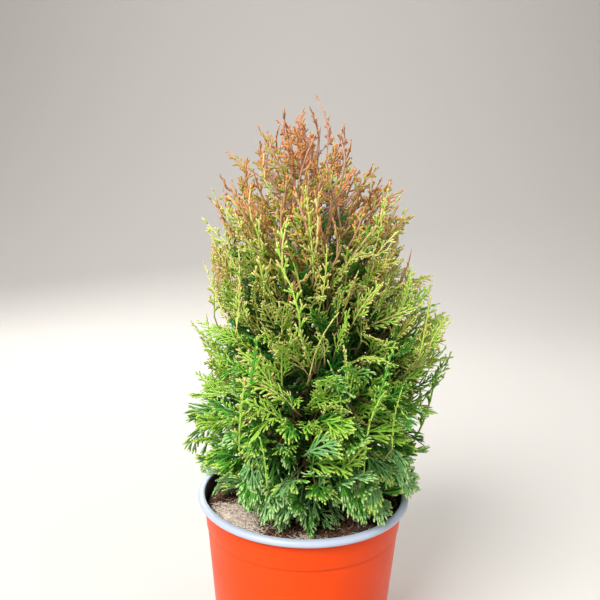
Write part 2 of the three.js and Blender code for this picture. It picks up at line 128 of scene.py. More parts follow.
# Where a tier's sprays are tried: heights, lengths and slacks in millimetres, rises in degrees, turns and headings
# in radians, and depths as shares of the crown's reach.
TRIES_PER_SPRAY = 60
LAYER_BELOW_MIDDLE = 24
LOW_BIAS = {"skirt": 2.0}
TURN_OVERLAP = 0.15
OUTERMOST_TIPS = 1.045
OUTWARD_BIAS = 1.2
RISE_SPREAD = 16
HEADING_SPREAD = 0.45
LENGTH_RANGE = (0.8, 1.15)
TIP_SLACK = 2.0
MIDDLE_SLACK = 8.0
INNER_DEPTH = 0.3
SPACING_SHRINK = 0.88
LEAST_SPACING = 2
WAND_RISE = 78
WAND_FOOT_HEIGHT = 188

# Where a shoot of a spray is left out: past a share of the crown's reach that each spray draws between these two,
# this far out of its mass's space, this near the trunk, or this far over the crown's top. Openings take away the
# shoots in this share of their radius.
SHOOT_REACH = (0.96, 1.09)
SHOOT_SLACK = 16.0
SHOOT_TRUNK_GAP = 1.5
SHOOT_OVER_TOP = 0.5
OPENING_SHARE = 0.8

# The layers of sprays in a mass: how deep their tips lie, and how far apart their middles keep at first.
OUTER_DEPTH, OUTER_SPACING = (0.0, 0.24), 17
SHADE_DEPTH, OPEN_SHADE_DEPTH, SHADE_SPACING = (0.3, 0.7), (0.6, 0.95), 18
LOOSE_SPRAYS, LOOSE_DEPTH, LOOSE_SPACING = 4, (0.35, 0.95), 12
WAND_DEPTH, WAND_SPACING = (0.03, 0.1), 24

# The shoots with given tips: their length, how much longer the one at the apex is, their roll in degrees, and the
# wider reach, below and above a height, and slack that they have.
SET_SHOOT_LENGTH = (34, 48)
APEX_STRETCH = 1.5
SET_SHOOT_ROLL = 50
SET_SHOOT_REACH = (1.3, 9.0)
SET_SHOOT_SLACK = 90.0

# How far out litter is strewn on the soil, its middles and its ends may lie, and the soil reaches.
STREWN_RADIUS = 84
LITTER_MIDDLE_RADIUS = 83
LITTER_END_RADIUS = 85
SOIL_RADIUS = 86

# The heights at which single shoots, tints and wood change.
WAND_SHOOTS_ABOVE = 490
OPEN_SHOOTS_ABOVE = 350
FREE_SHOOTS_ABOVE = 390
BARE_STEMS_ABOVE = 440
APEX_HEIGHT = 450
WAND_TINT_HEIGHTS = (262, 358)
SUNLIT_ABOVE = STEEP_HEIGHT - 20
YOUNG_WOOD_ABOVE = STEEP_HEIGHT - 40

# Height, then the crown's reach to the left and to the right of the pot's axis.
CROWN_PROFILE = np.array([
    (142, 70, 78), (160, 88, 100), (190, 101, 109), (235, 107, 112), (262, 106, 121),
    (290, 99, 127), (318, 92, 118), (345, 85, 99), (370, 82, 90), (398, 87, 93),
    (420, 82, 82), (442, 68, 60), (462, 47, 43), (480, 28, 31), (CROWN_TOP, 2, 20),
], float)

# Each ring of foliage: its masses and limbs as the solids have them, then how its sprays grow.
TIERS = {
    "skirt": dict(count=5, middle=164, top=190, turn=20, start=178, stem=0.5, cored=True,
                  habit="fan", length=42, rise=-30, roll=50, outer=0.95, inner=0.8, wands=0),
    "lower": dict(count=5, middle=208, top=245, turn=56, start=190, stem=0.5, cored=True,
                  habit="fan", length=44, rise=18, roll=80, outer=1.0, inner=1.0, wands=2),
    "belly": dict(count=5, middle=258, top=312, turn=4, start=218, stem=0.5, cored=True,
                  habit="frond", length=48, rise=38, roll=90, outer=1.6, inner=1.4, wands=4),
    "shoulder": dict(count=5, middle=310, top=374, turn=56, start=256, bough=0.2, stem=0.45, cored=True,
                     habit="frond", length=46, rise=54, roll=90, outer=1.6, inner=1.5, wands=4),
    "upper": dict(count=5, middle=362, top=432, turn=20, start=300, bough=0.25, stem=0.5, cored=True,
                  habit="open", length=48, rise=54, roll=80, outer=1.0, inner=0.9, wands=2),
    "crest": dict(count=4, middle=420, top=486, turn=45, start=354, bough=0.28, stem=0.6, cored=False,
                  habit="open", length=40, rise=58, roll=90, outer=0.36, inner=0.32, wands=0),
    "leader": dict(count=1, middle=458, top=482, turn=0, start=TRUNK_TOP, stem=0, cored=False,
                   habit="open", length=36, rise=76, roll=90, outer=0.4, inner=0.0, wands=0),
}

# How each habit of spray branches, in millimetres at its length: where its branchlets start, how far apart they
# leave it on alternate sides, their longest reach and their angle, then the same for the fingers on them. The nod
# is how much a spray bends over its flat side towards its tip, and the bulge how high it arches, each from and to.
HABITS = {
    "fan": dict(length=44, bare=0.1, gap=5.4, reach=29, angle=30, start=0.28, step=3.5, finger=13.5, turn=21,
                width=2.45, nod=(0.0, 0.35), bulge=(-2, 6)),
    "frond": dict(length=52, bare=0.1, gap=4.6, reach=20, angle=37, start=0.24, step=2.9, finger=7.5, turn=30,
                  width=1.95, nod=(-0.25, 0.5), bulge=(-4, 10)),
    "open": dict(length=46, bare=0.24, gap=7.2, reach=19, angle=44, start=0.4, step=2.9, finger=5.8, turn=42,
                 width=2.25, nod=(-0.4, 0.2), bulge=(-6, 4)),
    "wand": dict(length=64, bare=0.1, gap=5.0, reach=11, angle=34, start=0.3, step=3.2, finger=6.0, turn=34,
                 width=1.95, nod=(-0.2, 0.15), bulge=(-3, 6)),
    "inner": dict(length=46, bare=0.15, gap=6.5, reach=26, angle=38, start=0.25, step=5.0, finger=11.0, turn=28,
                  width=2.6, nod=(0.0, 0.3), bulge=(0, 4)),
}
VARIANTS = 6

# How deep the tips of the outer sprays lie where the crown is sparse and single shoots stand out of it.
OUTER_LAYER = {"upper": (0.05, 0.34), "crest": (0.12, 0.42), "leader": (0.12, 0.42)}
CLUB_THICKNESS = 1.5

# The parts of a spray, with the rings that each one's shape has: place along it and share of its half width.
PARTS = {
    "rachis": ((0.04, 0.8), (0.34, 0.85), (0.68, 0.8), (0.95, 0.7)),
    "branchlet": ((0.08, 0.7), (0.5, 0.95), (0.92, 0.95)),
    "deep": ((0.12, 0.65), (0.82, 1.0)),
    "finger": ((0.12, 0.65), (0.82, 1.0)),
    "tip": ((0.2, 1.0), (0.72, 0.8)),
}

# Tints by the height of a spray, in millimetres: its stem, its shaded and its open fingers, and its tips.
TINTS = (
    (148, "deep_green", "deep_green", "blue_green", "pale_tip"),
    (162, "blue_green", "deep_green", "blue_green", "pale_tip"),
    (176, "deep_green", "deep_green", "green", "pale_tip"),
    (190, "blue_green", "green", "blue_green", "lime_tip"),
    (205, "deep_green", "deep_green", "green", "lime_tip"),
    (220, "blue_green", "deep_green", "green", "pale_tip"),
    (240, "green", "green", "bright_green", "lime_tip"),
    (262, "lime_tip", "green", "bright_green", "lime_tip"),
    (282, "green", "deep_green", "green", "lime_tip"),
    (300, "lime_tip", "green", "bright_green", "straw_tip"),
    (316, "straw_tip", "green", "bright_green", "straw_tip"),
    (330, "lime_tip", "bright_green", "bright_green", "straw_tip"),
    (344, "straw_tip", "olive", "lime_tip", "straw_tip"),
    (358, "lime_tip", "bright_green", "olive", "straw_tip"),
    (371, "straw_tip", "olive", "olive", "straw_tip"),
    (384, "straw_tip", "olive", "bright_green", "straw_tip"),
    (400, "stem", "green", "olive", "rust_tip"),
    (414, "straw_tip", "olive", "tan", "rust_tip"),
    (428, "stem", "olive", "olive", "rust_tip"),
    (442, "tan", "olive", "olive", "rust_tip"),
    (456, "stem", "tan", "tan", "rust_tip"),
    (470, "tan", "tan", "rust_tip", "rust_tip"),
    (490, "stem", "tan", "tan", "rust_tip"),
)
TINT_SPREAD = 24.0

# The record's slot that each tint's piece stands for.
TINT_SLOTS = {
    "deep_green": "foliage_blue_green", "blue_green": "foliage_blue_green", "green": "foliage_green",
    "bright_green": "foliage_bright", "olive": "foliage_olive", "tan": "foliage_tan", "stem": "foliage_bronze",
    "pale_tip": "foliage_blue_green", "lime_tip": "foliage_bright", "straw_tip": "foliage_tan",
    "rust_tip": "foliage_bronze",
}
PIECE_TRIANGLES = 190000

# The furthest shoots of the sparse top: each tip's place across, along and up, in millimetres.
FURTHEST_SHOOTS = (
    (3, 0, 496), (-22, -6, 483), (-30, -2, 474), (-45, 4, 470), (27, -8, 471), (35, 10, 461), (-71, -4, 447),
    (-78, 8, 430), (-87, -6, 410), (-88, 6, 379), (-90, -14, 392), (53, -4, 440), (60, -12, 428), (81, 4, 418),
    (90, -8, 397), (87, 20, 371), (-8, -30, 454), (15, -40, 444), (-52, -40, 413), (108, -6, 346), (126, 0, 311),
    (122, -10, 284), (114, -4, 261), (0, 34, 470), (12, 60, 444), (-20, 70, 428), (34, -60, 430), (6, -76, 412),
    (-40, 64, 420), (48, 52, 432), (-106, 14, 300), (-60, 80, 320), (40, 90, 300), (84, 62, 330),
)

# Shoots that close the front of the body round its opening, in the same way.
FRONT_SHOOTS = (
    (10, -84, 270), (-18, -86, 262), (22, -88, 262), (-6, -88, 252), (8, -92, 245), (-20, -92, 240),
    (20, -92, 233), (0, -93, 230), (32, -84, 245), (-32, -84, 250), (4, -76, 256), (14, -92, 220), (-14, -92, 222),
)

# Bare limbs that show in the front of the sparse top: foot, tip and the radius at the foot.
BARE_LIMBS = (
    ((4, -26, 338), (-12, -50, 374), 1.7), ((5, -8, 378), (40, -20, 414), 1.9),
    ((1, -6, 380), (-2, -16, 420), 1.6), ((2, -4, 396), (22, 6, 440), 1.4),
    ((0, -2, 392), (-34, -4, 432), 1.4), ((2, 4, 384), (-8, 34, 424), 1.5),
)

# Where the dry thatch is heaped on the soil: across, along, how wide and how high.
THATCH_HEAP = (-60, -46, 26, 4.5)

# Loose litter on the soil: its piece and colour, the light of its patches, how many bars lie all over the soil or
# round a patch of (x, y, radius), then their lengths, radius and arch, in millimetres.
LITTER = (
    ("peat_crumbs", "peat", 0.6, ((2400, None),), (1.0, 2.6), 1.1, 0.0),
    ("peat_fibres", "fibre", 0.5, ((1700, None),), (3.0, 9.0), 0.28, 0.5),
    ("dry_thatch", "straw", 0.6, ((2600, (-60, -48, 22)), (260, (8, -76, 10)), (420, None)),
     (4.0, 12.0), 0.3, 0.7),
)

# Places where the crown opens and shows its trunk and limbs: a point across, along and up, and a radius.
OPEN_PLACES = (
    (-68, -60, 155, 26), (80, -42, 152, 17), (97, -24, 158, 17), (-1, -92, 288, 15), (-1, -56, 280, 11),
    (-6, -74, 352, 13), (20, -60, 396, 15), (-40, -40, 404, 13), (48, -30, 404, 14),
)


def linear(code):
    """A colour given as a web code, in linear light."""
    parts = [int(code[i:i + 2], 16) / 255 for i in (1, 3, 5)]
    return tuple(p / 12.92 if p <= 0.04045 else ((p + 0.055) / 1.055) ** 2.4 for p in parts)


def place_property(name, description, default):
    return bpy.props.FloatProperty(name=name, description=description, default=default, unit="LENGTH")


def turn_property(name, description, degrees):
    return bpy.props.FloatProperty(
        name=name, description=description, default=math.radians(degrees), subtype="ANGLE"
    )


def power_property(name, description, default):
    return bpy.props.FloatProperty(name=name, description=description, default=default, min=0.0, unit="POWER")


def length_property(name, description, default):
    return bpy.props.FloatProperty(
        name=name, description=description, default=default, min=0.0, unit="LENGTH", subtype="DISTANCE"
    )


def colour_property(name, description, code):
    return bpy.props.FloatVectorProperty(
        name=name, description=description, default=linear(code), size=3, min=0.0, max=1.0, subtype="COLOR"
    )


class ThujaPotSizes(bpy.types.PropertyGroup):
    """Sizes of the pot and its soil."""

    height: length_property("Height", "Pot height from its underside to the top of its rim", 0.150)
    rim_radius: length_property("Rim radius", "Outer radius of the rolled rim", 0.095)
    rim_inner_radius: length_property("Rim inner radius", "Inner radius of the rolled rim", 0.0886)
    rim_depth: length_property("Rim depth", "Height of the rolled rim's bead", 0.0054)
    wall_top_radius: length_property("Wall top radius", "Outer radius of the wall under the rim", 0.0896)
    wall_foot_radius: length_property("Wall foot radius", "Outer radius of the wall at the ground", 0.075)
    wall_thickness: length_property("Wall thickness", "Thickness of the plastic", 0.0012)
    band_height: length_property("Band height", "Height of the plain band under the rim", 0.0255)
    band_step: length_property("Band step", "How far the wall steps in under the band", 0.0009)
    floor_thickness: length_property("Floor thickness", "Height of the inside floor", 0.0044)
    foot_recess: length_property("Foot recess", "Depth of the hollow ring in the underside", 0.003)
    drain_hole_radius: length_property("Drain hole radius", "Radius of the drain holes", 0.005)
    soil_top: length_property("Soil top", "Height of the soil at the trunk", 0.141)
    soil_edge_drop: length_property("Soil edge drop", "How much lower the soil lies at the wall", 0.004)
    segments: bpy.props.IntProperty(
        name="Segments", description="Faces round the pot", default=128, min=24, max=256
    )


class ThujaCrownSizes(bpy.types.PropertyGroup):
    """How dense the crown is and how large its scale leaves are."""

    outer_sprays: bpy.props.IntProperty(
        name="Outer sprays", description="Sprays on the outside of each mass of foliage", default=25, min=1
    )
    inner_sprays: bpy.props.IntProperty(
        name="Inner sprays", description="Sprays in the shade inside each mass", default=12, min=0
    )
    finger_thickness: length_property("Finger thickness", "Thickness of one finger of scale leaves", 0.0010)
    tip_reach: bpy.props.FloatProperty(
        name="Tip reach", description="How much of a finger its pale tip covers", default=0.5,
        min=0.1, max=0.9, subtype="FACTOR",
    )
    scale_length: length_property("Scale length", "Length of one pair of scale leaves", 0.0018)
    twig_radius: length_property("Twig radius", "Radius of a twig where it leaves its stem", 0.0009)
    seed: bpy.props.IntProperty(name="Seed", description="Start of the random draws", default=7041, min=0)


class ThujaColours(bpy.types.PropertyGroup):
    """Plain colours of the plant, the pot and the soil."""

    pot: colour_property("Pot", "Orange-red plastic of the pot", "#f44a06")
    pot_inside: colour_property("Pot inside", "Inside of the pot's wall", "#2e2725")
    rim: colour_property("Rim", "Lavender-grey plastic of the rolled rim", "#bcc6da")
    peat: colour_property("Peat", "Moist peat", "#74594a")
    fibre: colour_property("Fibre", "Reddish fibres in the peat", "#b07858")
    straw: colour_property("Straw", "Dry pale thatch on the soil", "#f4e2d0")
    bark: colour_property("Bark", "Bark of the trunk and boughs", "#6e4a40")
    twig: colour_property("Twig", "Green-brown bark of the young twigs", "#94824e")
    bare_twig: colour_property("Bare twig", "Pinkish grey bark of the bare shoots at the top", "#d6b49e")
    deep_green: colour_property("Deep green", "Shaded foliage", "#286a1c")
    blue_green: colour_property("Blue green", "Foliage near the soil", "#7cb468")
    green: colour_property("Green", "Foliage of the body", "#58a62e")
    bright_green: colour_property("Bright green", "Sunlit foliage", "#9ad040")
    olive: colour_property("Olive", "Olive foliage of the upper part", "#b4b448")
    tan: colour_property("Tan", "Dry foliage near the top", "#c48646")
    stem: colour_property("Stem", "Pinkish brown stems of the sprays at the top", "#d49c80")
    pale_tip: colour_property("Pale tip", "Tips near the soil", "#bade8c")
    lime_tip: colour_property("Lime tip", "Tips of the body", "#bcdc5e")
    straw_tip: colour_property("Straw tip", "Tips of the upper part", "#e8d888")
    rust_tip: colour_property("Rust tip", "Tips of the top", "#d8925a")
    floor: colour_property("Floor", "Plain pale floor", "#d2cfca")


class ThujaStageSizes(bpy.types.PropertyGroup):
    """Camera and lights."""

    camera_x: place_property("Camera X", "Camera's place across", -0.0076)
    camera_y: place_property("Camera Y", "Camera's place along", -0.5056)
    camera_z: place_property("Camera Z", "Camera's height", 0.3897)
    camera_dip: turn_property("Camera dip", "How far the camera looks down", 7.67)
    camera_roll: turn_property("Camera roll", "Turn of the camera about its view", -1.1)
    lens: bpy.props.FloatProperty(
        name="Lens", description="Focal length on a 36 mm sensor, in millimetres", default=35.0, min=1.0
    )
    key_power: power_property("Key light", "Power of the main light", 71.0)
    fill_power: power_property("Fill light", "Power of the fill light", 7.0)
    back_power: power_property("Back light", "Power of the light from behind", 20.0)
    backdrop_power: power_property("Backdrop light", "Power of the light on the backdrop", 90.0)
    sky: bpy.props.FloatProperty(
        name="Room light", description="Strength of the even light of the room", default=1.0, min=0.0
    )


# ---- the plant's rule ----

class Dice:
    """Seeded random numbers, drawn in the order that the solids' source draws them."""

    def __init__(self, seed):
        self.state = seed

    def roll(self):
        self.state = (self.state + 0x6D2B79F5) & 0xFFFFFFFF
        t = self.state
        t = ((t ^ (t >> 15)) * (t | 1)) & 0xFFFFFFFF
        t ^= (t + (((t ^ (t >> 7)) * (t | 61)) & 0xFFFFFFFF)) & 0xFFFFFFFF
        return ((t ^ (t >> 14)) & 0xFFFFFFFF) / 4294967296

    def spread(self, amount):
        return (self.roll() * 2 - 1) * amount


def unit(vectors):
    return vectors / np.maximum(np.linalg.norm(vectors, axis=-1, keepdims=True), 1e-9)


def trunk_axis(z):
    """The trunk's centre line at a height, leaning a little towards its tip."""
    z = np.asarray(z, float)
    share = (z - TRUNK_FOOT) / (CROWN_TOP - TRUNK_FOOT)
    return np.stack([CROWN_LEAN * share ** 3, 1.5 * np.sin(share * 5), z], axis=-1)


def trunk_radius_at(z):
    share = np.clip((z - TRUNK_FOOT) / (TRUNK_TOP - TRUNK_FOOT), 0, 1)
    flare = ROOT_FLARE * np.exp(-(z - TRUNK_FOOT) / ROOT_FLARE_LENGTH)
    return TRUNK_RADIUS + (TRUNK_TIP_RADIUS - TRUNK_RADIUS) * share ** TRUNK_TAPER_POWER + flare


def section_at(z):
    """The crown's round section at a height: its middle and its radius."""
    left = np.interp(z, CROWN_PROFILE[:, 0], CROWN_PROFILE[:, 1])
    right = np.interp(z, CROWN_PROFILE[:, 0], CROWN_PROFILE[:, 2])
    return (right - left) / 2, (right + left) / 2


def reach_at(z, azimuth):
    return section_at(z)[1] * (1 + LOBE_DEPTH * np.sin(3 * azimuth + z / 38))


def crown_point(share, azimuth, z):
    """A point of the crown at a share of its reach in one direction."""
    reach = share * reach_at(z, azimuth)
    middle = section_at(z)[0]
    across, along, up = np.broadcast_arrays(middle + reach * np.cos(azimuth), reach * np.sin(azimuth), z)
    return np.stack([across, along, up], axis=-1).astype(float)


def reach_share(points):
    """Where points lie between the crown's middle, 0, and its outline, 1."""
    x = points[..., 0] - section_at(points[..., 2])[0]
    azimuth = np.arctan2(points[..., 1], x)
    return np.hypot(x, points[..., 1]) / reach_at(points[..., 2], azimuth)


def axis_distance(points):
    """How far points lie from the trunk's centre line, level with them."""
    axis = trunk_axis(points[..., 2])
    return np.hypot(points[..., 0] - axis[..., 0], points[..., 1] - axis[..., 1])


def rooted(points):
    """Points followed back along the foliage's slope to the crown's middle."""
    ramp = np.clip((points[..., 2] - SOIL_TOP) / (STEEP_HEIGHT - SOIL_TOP), 0, 1)
    level = (LEVEL_HEIGHT - SOIL_TOP) / (STEEP_HEIGHT - SOIL_TOP)
    hanging = LOWEST_SLOPE * (1 - ramp / level)
    rising = STEEPEST_SLOPE * (ramp - level) / (1 - level)
    slope = np.where(ramp < level, hanging, rising)
    out = points.copy()
    out[..., 2] -= slope * axis_distance(points)
    return out


def hanging_limit(points):
    """The lowest that foliage may hang: over the soil inside the pot, and over the rim outside it."""
    inside = np.hypot(points[..., 0], points[..., 1]) < RIM_INNER_RADIUS - 4
    return np.where(inside, SOIL_TOP + SOIL_LUMP + 1, POT_HEIGHT + 1.5)


def trunk_gap(points):
    return axis_distance(points) - trunk_radius_at(points[..., 2])


def bent_line(start, bend, end, steps):
    """Points of a quadratic curve, or of several at once."""
    t = np.linspace(0, 1, steps)[:, None]
    return (1 - t) ** 2 * start + 2 * t * (1 - t) * bend + t ** 2 * end


def plan_masses(dice):
    """The masses of foliage, each with its site, its limbs and the walls of its space."""
    masses = []
    for ring, tier in TIERS.items():
        count = tier["count"]
        for i in range(count):
            azimuth = math.radians(tier["turn"]) + ((i + dice.spread(TURN_SPREAD)) / count) * 2 * math.pi
            step = 0 if count == 1 else ((i * 2) % count) / (count - 1) - 0.5
            middle = tier["middle"] + SITE_STAGGER * step
            centre = crown_point(0 if count == 1 else SITE_SHARE, azimuth, middle)
            name = f"foliage_{ring}" if count == 1 else f"foliage_{ring}_{i + 1}"
            masses.append(dict(
                name=name, ring=ring, tier=tier, count=count, number=i + 1, azimuth=azimuth,
                middle=middle, site=rooted(centre),
            ))
    for mass in masses:
        others = np.array([other["site"] for other in masses if other is not mass])
        normals = unit(others - mass["site"])
        halfway = (others + mass["site"]) / 2
        mass["normals"] = normals
        mass["limits"] = np.sum(halfway * normals, axis=1) - SPACE_MARGIN
        add_limbs(mass)
    return masses


def add_limbs(mass):
    """The centre lines and thicknesses of a mass's bough and stem."""
    tier, count, azimuth, middle = mass["tier"], mass["count"], mass["azimuth"], mass["middle"]
    if count == 1:
        tip = trunk_axis(CROWN_TOP - LEADER_STEM_BELOW)
        foot = trunk_axis(TRUNK_TOP + SEAT_GAP)
        mass["thick"] = TRUNK_TIP_RADIUS
        mass["stem"] = bent_line(foot, (foot + tip) / 2, tip, STEM_STEPS)
        return
    mass["thick"] = STEM_RADIUS
    end = crown_point(tier["stem"], azimuth, middle + (0 if tier["cored"] else OPEN_STEM_RISE))
    if "bough" in tier:
        start = trunk_axis(tier["start"] + BOUGH_STAGGER * ((mass["number"] * 2) % count))
        tip = crown_point(tier["bough"], azimuth, middle - BOUGH_TIP_BELOW)
        bend = (start + tip) / 2 - np.array([0, 0, BOUGH_SAG])
        mass["thick"] = BOUGH_SHARE * trunk_radius_at(start[2])
        mass["bough"] = bent_line(start, bend, tip, 14)
        onward = unit(tip - bend)
        start = tip + onward * SEAT_GAP
        mass["stem"] = bent_line(start, start + onward * STEM_ONWARD, end, STEM_STEPS)
        if not tier["cored"]:
            far = crown_point(tier["stem"] + 0.15, azimuth, tier["top"] - OPEN_STEM_BELOW_TOP)
            bend = end + unit(end - mass["stem"][-2]) * 8
            mass["stem"] = np.concatenate([mass["stem"], bent_line(end, bend, far, 8)[1:]])
        return
    start = trunk_axis(tier["start"])
    bend = (start + end) / 2 + np.array([0, 0, BOUGH_SAG])
    mass["stem"] = bent_line(start, bend, end, STEM_STEPS)


def inside_space(mass, points, slack):
    """Whether points lie in a mass's space, or no more than the slack outside it."""
    at = rooted(points)
    beyond = at @ mass["normals"].T - mass["limits"]
    return (beyond <= slack).all(axis=-1) & (points[..., 2] >= hanging_limit(points))


def clear_of_openings(points, share=1.0):
    """Whether points lie outside a share of the radius of every place where the crown opens."""
    clear = np.ones(points.shape[:-1], bool)
    for x, y, z, radius in OPEN_PLACES:
        clear &= np.linalg.norm(points - np.array([x, y, z]), axis=-1) > radius * share
    return clear


# ---- the sprays ----

def part_shape(part, length, width, thickness, bend):
    """One part of a spray along +X, a flat closed bar of rings of four corners between two end points."""
    rings = PARTS[part]
    points = [(0.0, 0.0, 0.0)]
    across = [0.5]
    for share, wide in rings:
        x = share * length
        y = bend * share ** 2 * length
        half = width * wide / 2
        points += [(x, y + half, 0), (x, y, thickness / 2), (x, y - half, 0), (x, y, -thickness / 2)]
        across += [0.0, 0.5, 1.0, 0.5]
    points.append((length, bend * length, 0.0))
    across.append(0.5)
    return np.array(points), np.array(across)


def grow_habit(habit, rng, sizes):
    """One flat spray of a habit, as lists of its parts' shapes, by the kind of part."""
    rule = HABITS[habit]
    thickness = sizes.finger_thickness / MM * (CLUB_THICKNESS if habit == "open" else 1.0)
    scale = sizes.scale_length / MM
    shoots = []

    def add(part, start, heading, length, width, bend, lift, parent):
        shape, across = part_shape(part, length, width, thickness * min(1.0, width / 2), bend)
        level = math.cos(lift)
        along = np.array([math.cos(heading) * level, math.sin(heading) * level, math.sin(lift)])
        side = np.array([-math.sin(heading), math.cos(heading), 0.0])
        top = np.cross(along, side)
        placed = start + shape @ np.array([along, side, top])
        uv = np.stack([shape[:, 0] / scale, across], axis=1)
        shoots.append(dict(part=part, points=placed, uv=uv, parent=parent))
        return along, side, len(shoots) - 1

    def add_tipped(part, start, heading, length, width, bend, lift, parent):
        """A part whose last stretch is a pale tip of its own."""
        if habit == "inner":
            return add("deep", start, heading, length, width, bend, lift, parent)
        reach = sizes.tip_reach * min(1.0, 9.0 / length) * rng.uniform(0.5, 1.4)
        body = length * (1 - reach * 0.6)
        along, side, number = add(part, start, heading, body, width, bend, lift, parent)
        foot = start + along * (length * (1 - reach)) + side * bend * length * (1 - reach) ** 2
        turn = heading + math.atan(2 * bend * (1 - reach / 2))
        add("tip", foot, turn, length * reach, width * 0.94, 0.0, lift, number)
        return along, side, number

    def add_fingers(start, heading, along, across, length, curl, side, share, parent):
        """The fingers that leave a branchlet on alternate sides and end a little behind its tip."""
        out = side
        s = max(3.0, rule["start"] * length) * rng.uniform(0.8, 1.2)
        while s < length - 2.5:
            place = s / length
            foot = start + along * s + across * curl * place ** 2 * length
            turn = heading + 2 * curl * place + out * math.radians(rule["turn"] + rng.uniform(-7, 7))
            finger = min(rule["finger"] * rng.uniform(0.8, 1.15), (length - s) * 0.85 + 3.4)
            part = "deep" if share + place * 0.7 < 0.42 else "finger"
            wide = width * rng.uniform(0.88, 1.08)
            bend = -out * rng.uniform(0.03, 0.2)
            add_tipped(part, foot, turn, finger, wide, bend, rng.uniform(-0.25, 0.25), parent)
            out = -out
            s += rule["step"] * rng.uniform(0.8, 1.2)

    full = rule["length"]
    width = rule["width"]
    sway = rng.uniform(-0.1, 0.1)
    add_tipped("rachis", np.zeros(3), 0.0, full, width * 1.05, sway, 0.0, 0)
    side = rng.choice([-1, 1])
    x = rule["bare"] * full
    while x < 0.92 * full:
        side = -side
        share = x / full
        foot = np.array([x, sway * x * x / full, 0.0])
        open_up = min(1.0, 0.5 + share * 2.0)
        length = max(5.0, rule["reach"] * (1 - share ** 1.5) * open_up * rng.uniform(0.8, 1.12))
        angle = rule["angle"] * (1.1 - 0.4 * share) + rng.uniform(-6, 6)
        heading = side * math.radians(angle) + 2 * sway * share
        curl = -side * rng.uniform(0.08, 0.22)
        lift = rng.uniform(-0.12, 0.12)
        along, across, number = add_tipped("branchlet", foot, heading, length, width, curl, lift, 0)
        add_fingers(foot, heading, along, across, length, curl, side, share, number)
        x += rule["gap"] * rng.uniform(0.85, 1.15)
    shapes = {}
    for part in PARTS:
        numbers = [number for number, shoot in enumerate(shoots) if shoot["part"] == part]
        if numbers:
            shapes[part] = dict(
                numbers=np.array(numbers),
                points=np.array([shoots[number]["points"] for number in numbers]),
                uv=np.array([shoots[number]["uv"] for number in numbers]),
            )
    ends = np.array([shoot["points"][-1] for shoot in shoots])
    return dict(length=full, shapes=shapes, ends=ends, parents=[shoot["parent"] for shoot in shoots])


def bar_faces(rings, sides):
    """Faces of a closed bar: triangles at its two ends and quads between its rings."""
    last = rings * sides + 1
    foot = [(0, 1 + (k + 1) % sides, 1 + k) for k in range(sides)]
    base = 1 + (rings - 1) * sides
    head = [(base + k, base + (k + 1) % sides, last) for k in range(sides)]
    quads = []
    for ring in range(rings - 1):
        a = 1 + ring * sides
        b = a + sides
        quads += [(a + k, a + (k + 1) % sides, b + (k + 1) % sides, b + k) for k in range(sides)]
    return np.array(foot + head), np.array(quads, int).reshape(-1, 4)


class Sheaf:
    """Bars gathered for one piece, to be made one mesh."""

    def __init__(self):
        self.groups = []

    def add(self, points, uv, rings, sides=4):
        """Adds bars: an array of them, each with its points in the same order."""
        if len(points):
            self.groups.append((points, uv, rings, sides))

    def triangles(self):
        return sum(len(points) * 2 * sides * rings for points, _, rings, sides in self.groups)

    def meshes(self, name):
        """Makes the mesh, or several of them where one would have too many triangles."""
        parts = max(1, math.ceil(self.triangles() / PIECE_TRIANGLES))
        made = []
        for part in range(parts):
            label = name if parts == 1 else f"{name}_{part + 1}"
            groups = [(points[part::parts], uv[part::parts], r, s) for points, uv, r, s in self.groups]
            made.append(mesh_of_bars(label, [g for g in groups if len(g[0])]))
        return made


def mesh_of_bars(name, groups):
    points, uvs, tris, quads = [], [], [], []
    offset = 0
    for bars, uv, rings, sides in groups:
        count, size = bars.shape[:2]
        ends, walls = bar_faces(rings, sides)
        starts = offset + np.arange(count)[:, None, None] * size
        points.append(bars.reshape(-1, 3))
        uvs.append(uv.reshape(-1, 2))
        tris.append((ends[None] + starts).reshape(-1, 3))
        quads.append((walls[None] + starts).reshape(-1, 4))
        offset += count * size
    points = np.concatenate(points) * MM
    uvs = np.concatenate(uvs)
    tris = np.concatenate(tris)
    quads = np.concatenate(quads)
    corners = np.concatenate([tris.ravel(), quads.ravel()]).astype(np.int32)
    starts = np.concatenate([np.arange(len(tris)) * 3, len(tris) * 3 + np.arange(len(quads)) * 4])
    mesh = bpy.data.meshes.new(name)
    mesh.vertices.add(len(points))
    mesh.vertices.foreach_set("co", points.astype(np.float32).ravel())
    mesh.loops.add(len(corners))
    mesh.loops.foreach_set("vertex_index", corners)
    mesh.polygons.add(len(starts))
    mesh.polygons.foreach_set("loop_start", starts.astype(np.int32))
    mesh.update(calc_edges=True)
    mesh.validate()
    layer = mesh.uv_layers.new(name="Along")
    layer.data.foreach_set("uv", uvs[corners].astype(np.float32).ravel())
    piece = bpy.data.objects.new(name, mesh)
    bpy.context.scene.collection.objects.link(piece)
    return piece


def frames(direction, roll):
    """Right-handed frames that grow along a direction and are rolled about it, as rows."""
    up = np.array([0.0, 0.0, 1.0])
    level = unit(np.cross(up, direction))
    lifted = np.cross(direction, level)
    side = level * np.cos(roll)[:, None] + lifted * np.sin(roll)[:, None]
    return np.stack([direction, side, np.cross(direction, side)], axis=1)


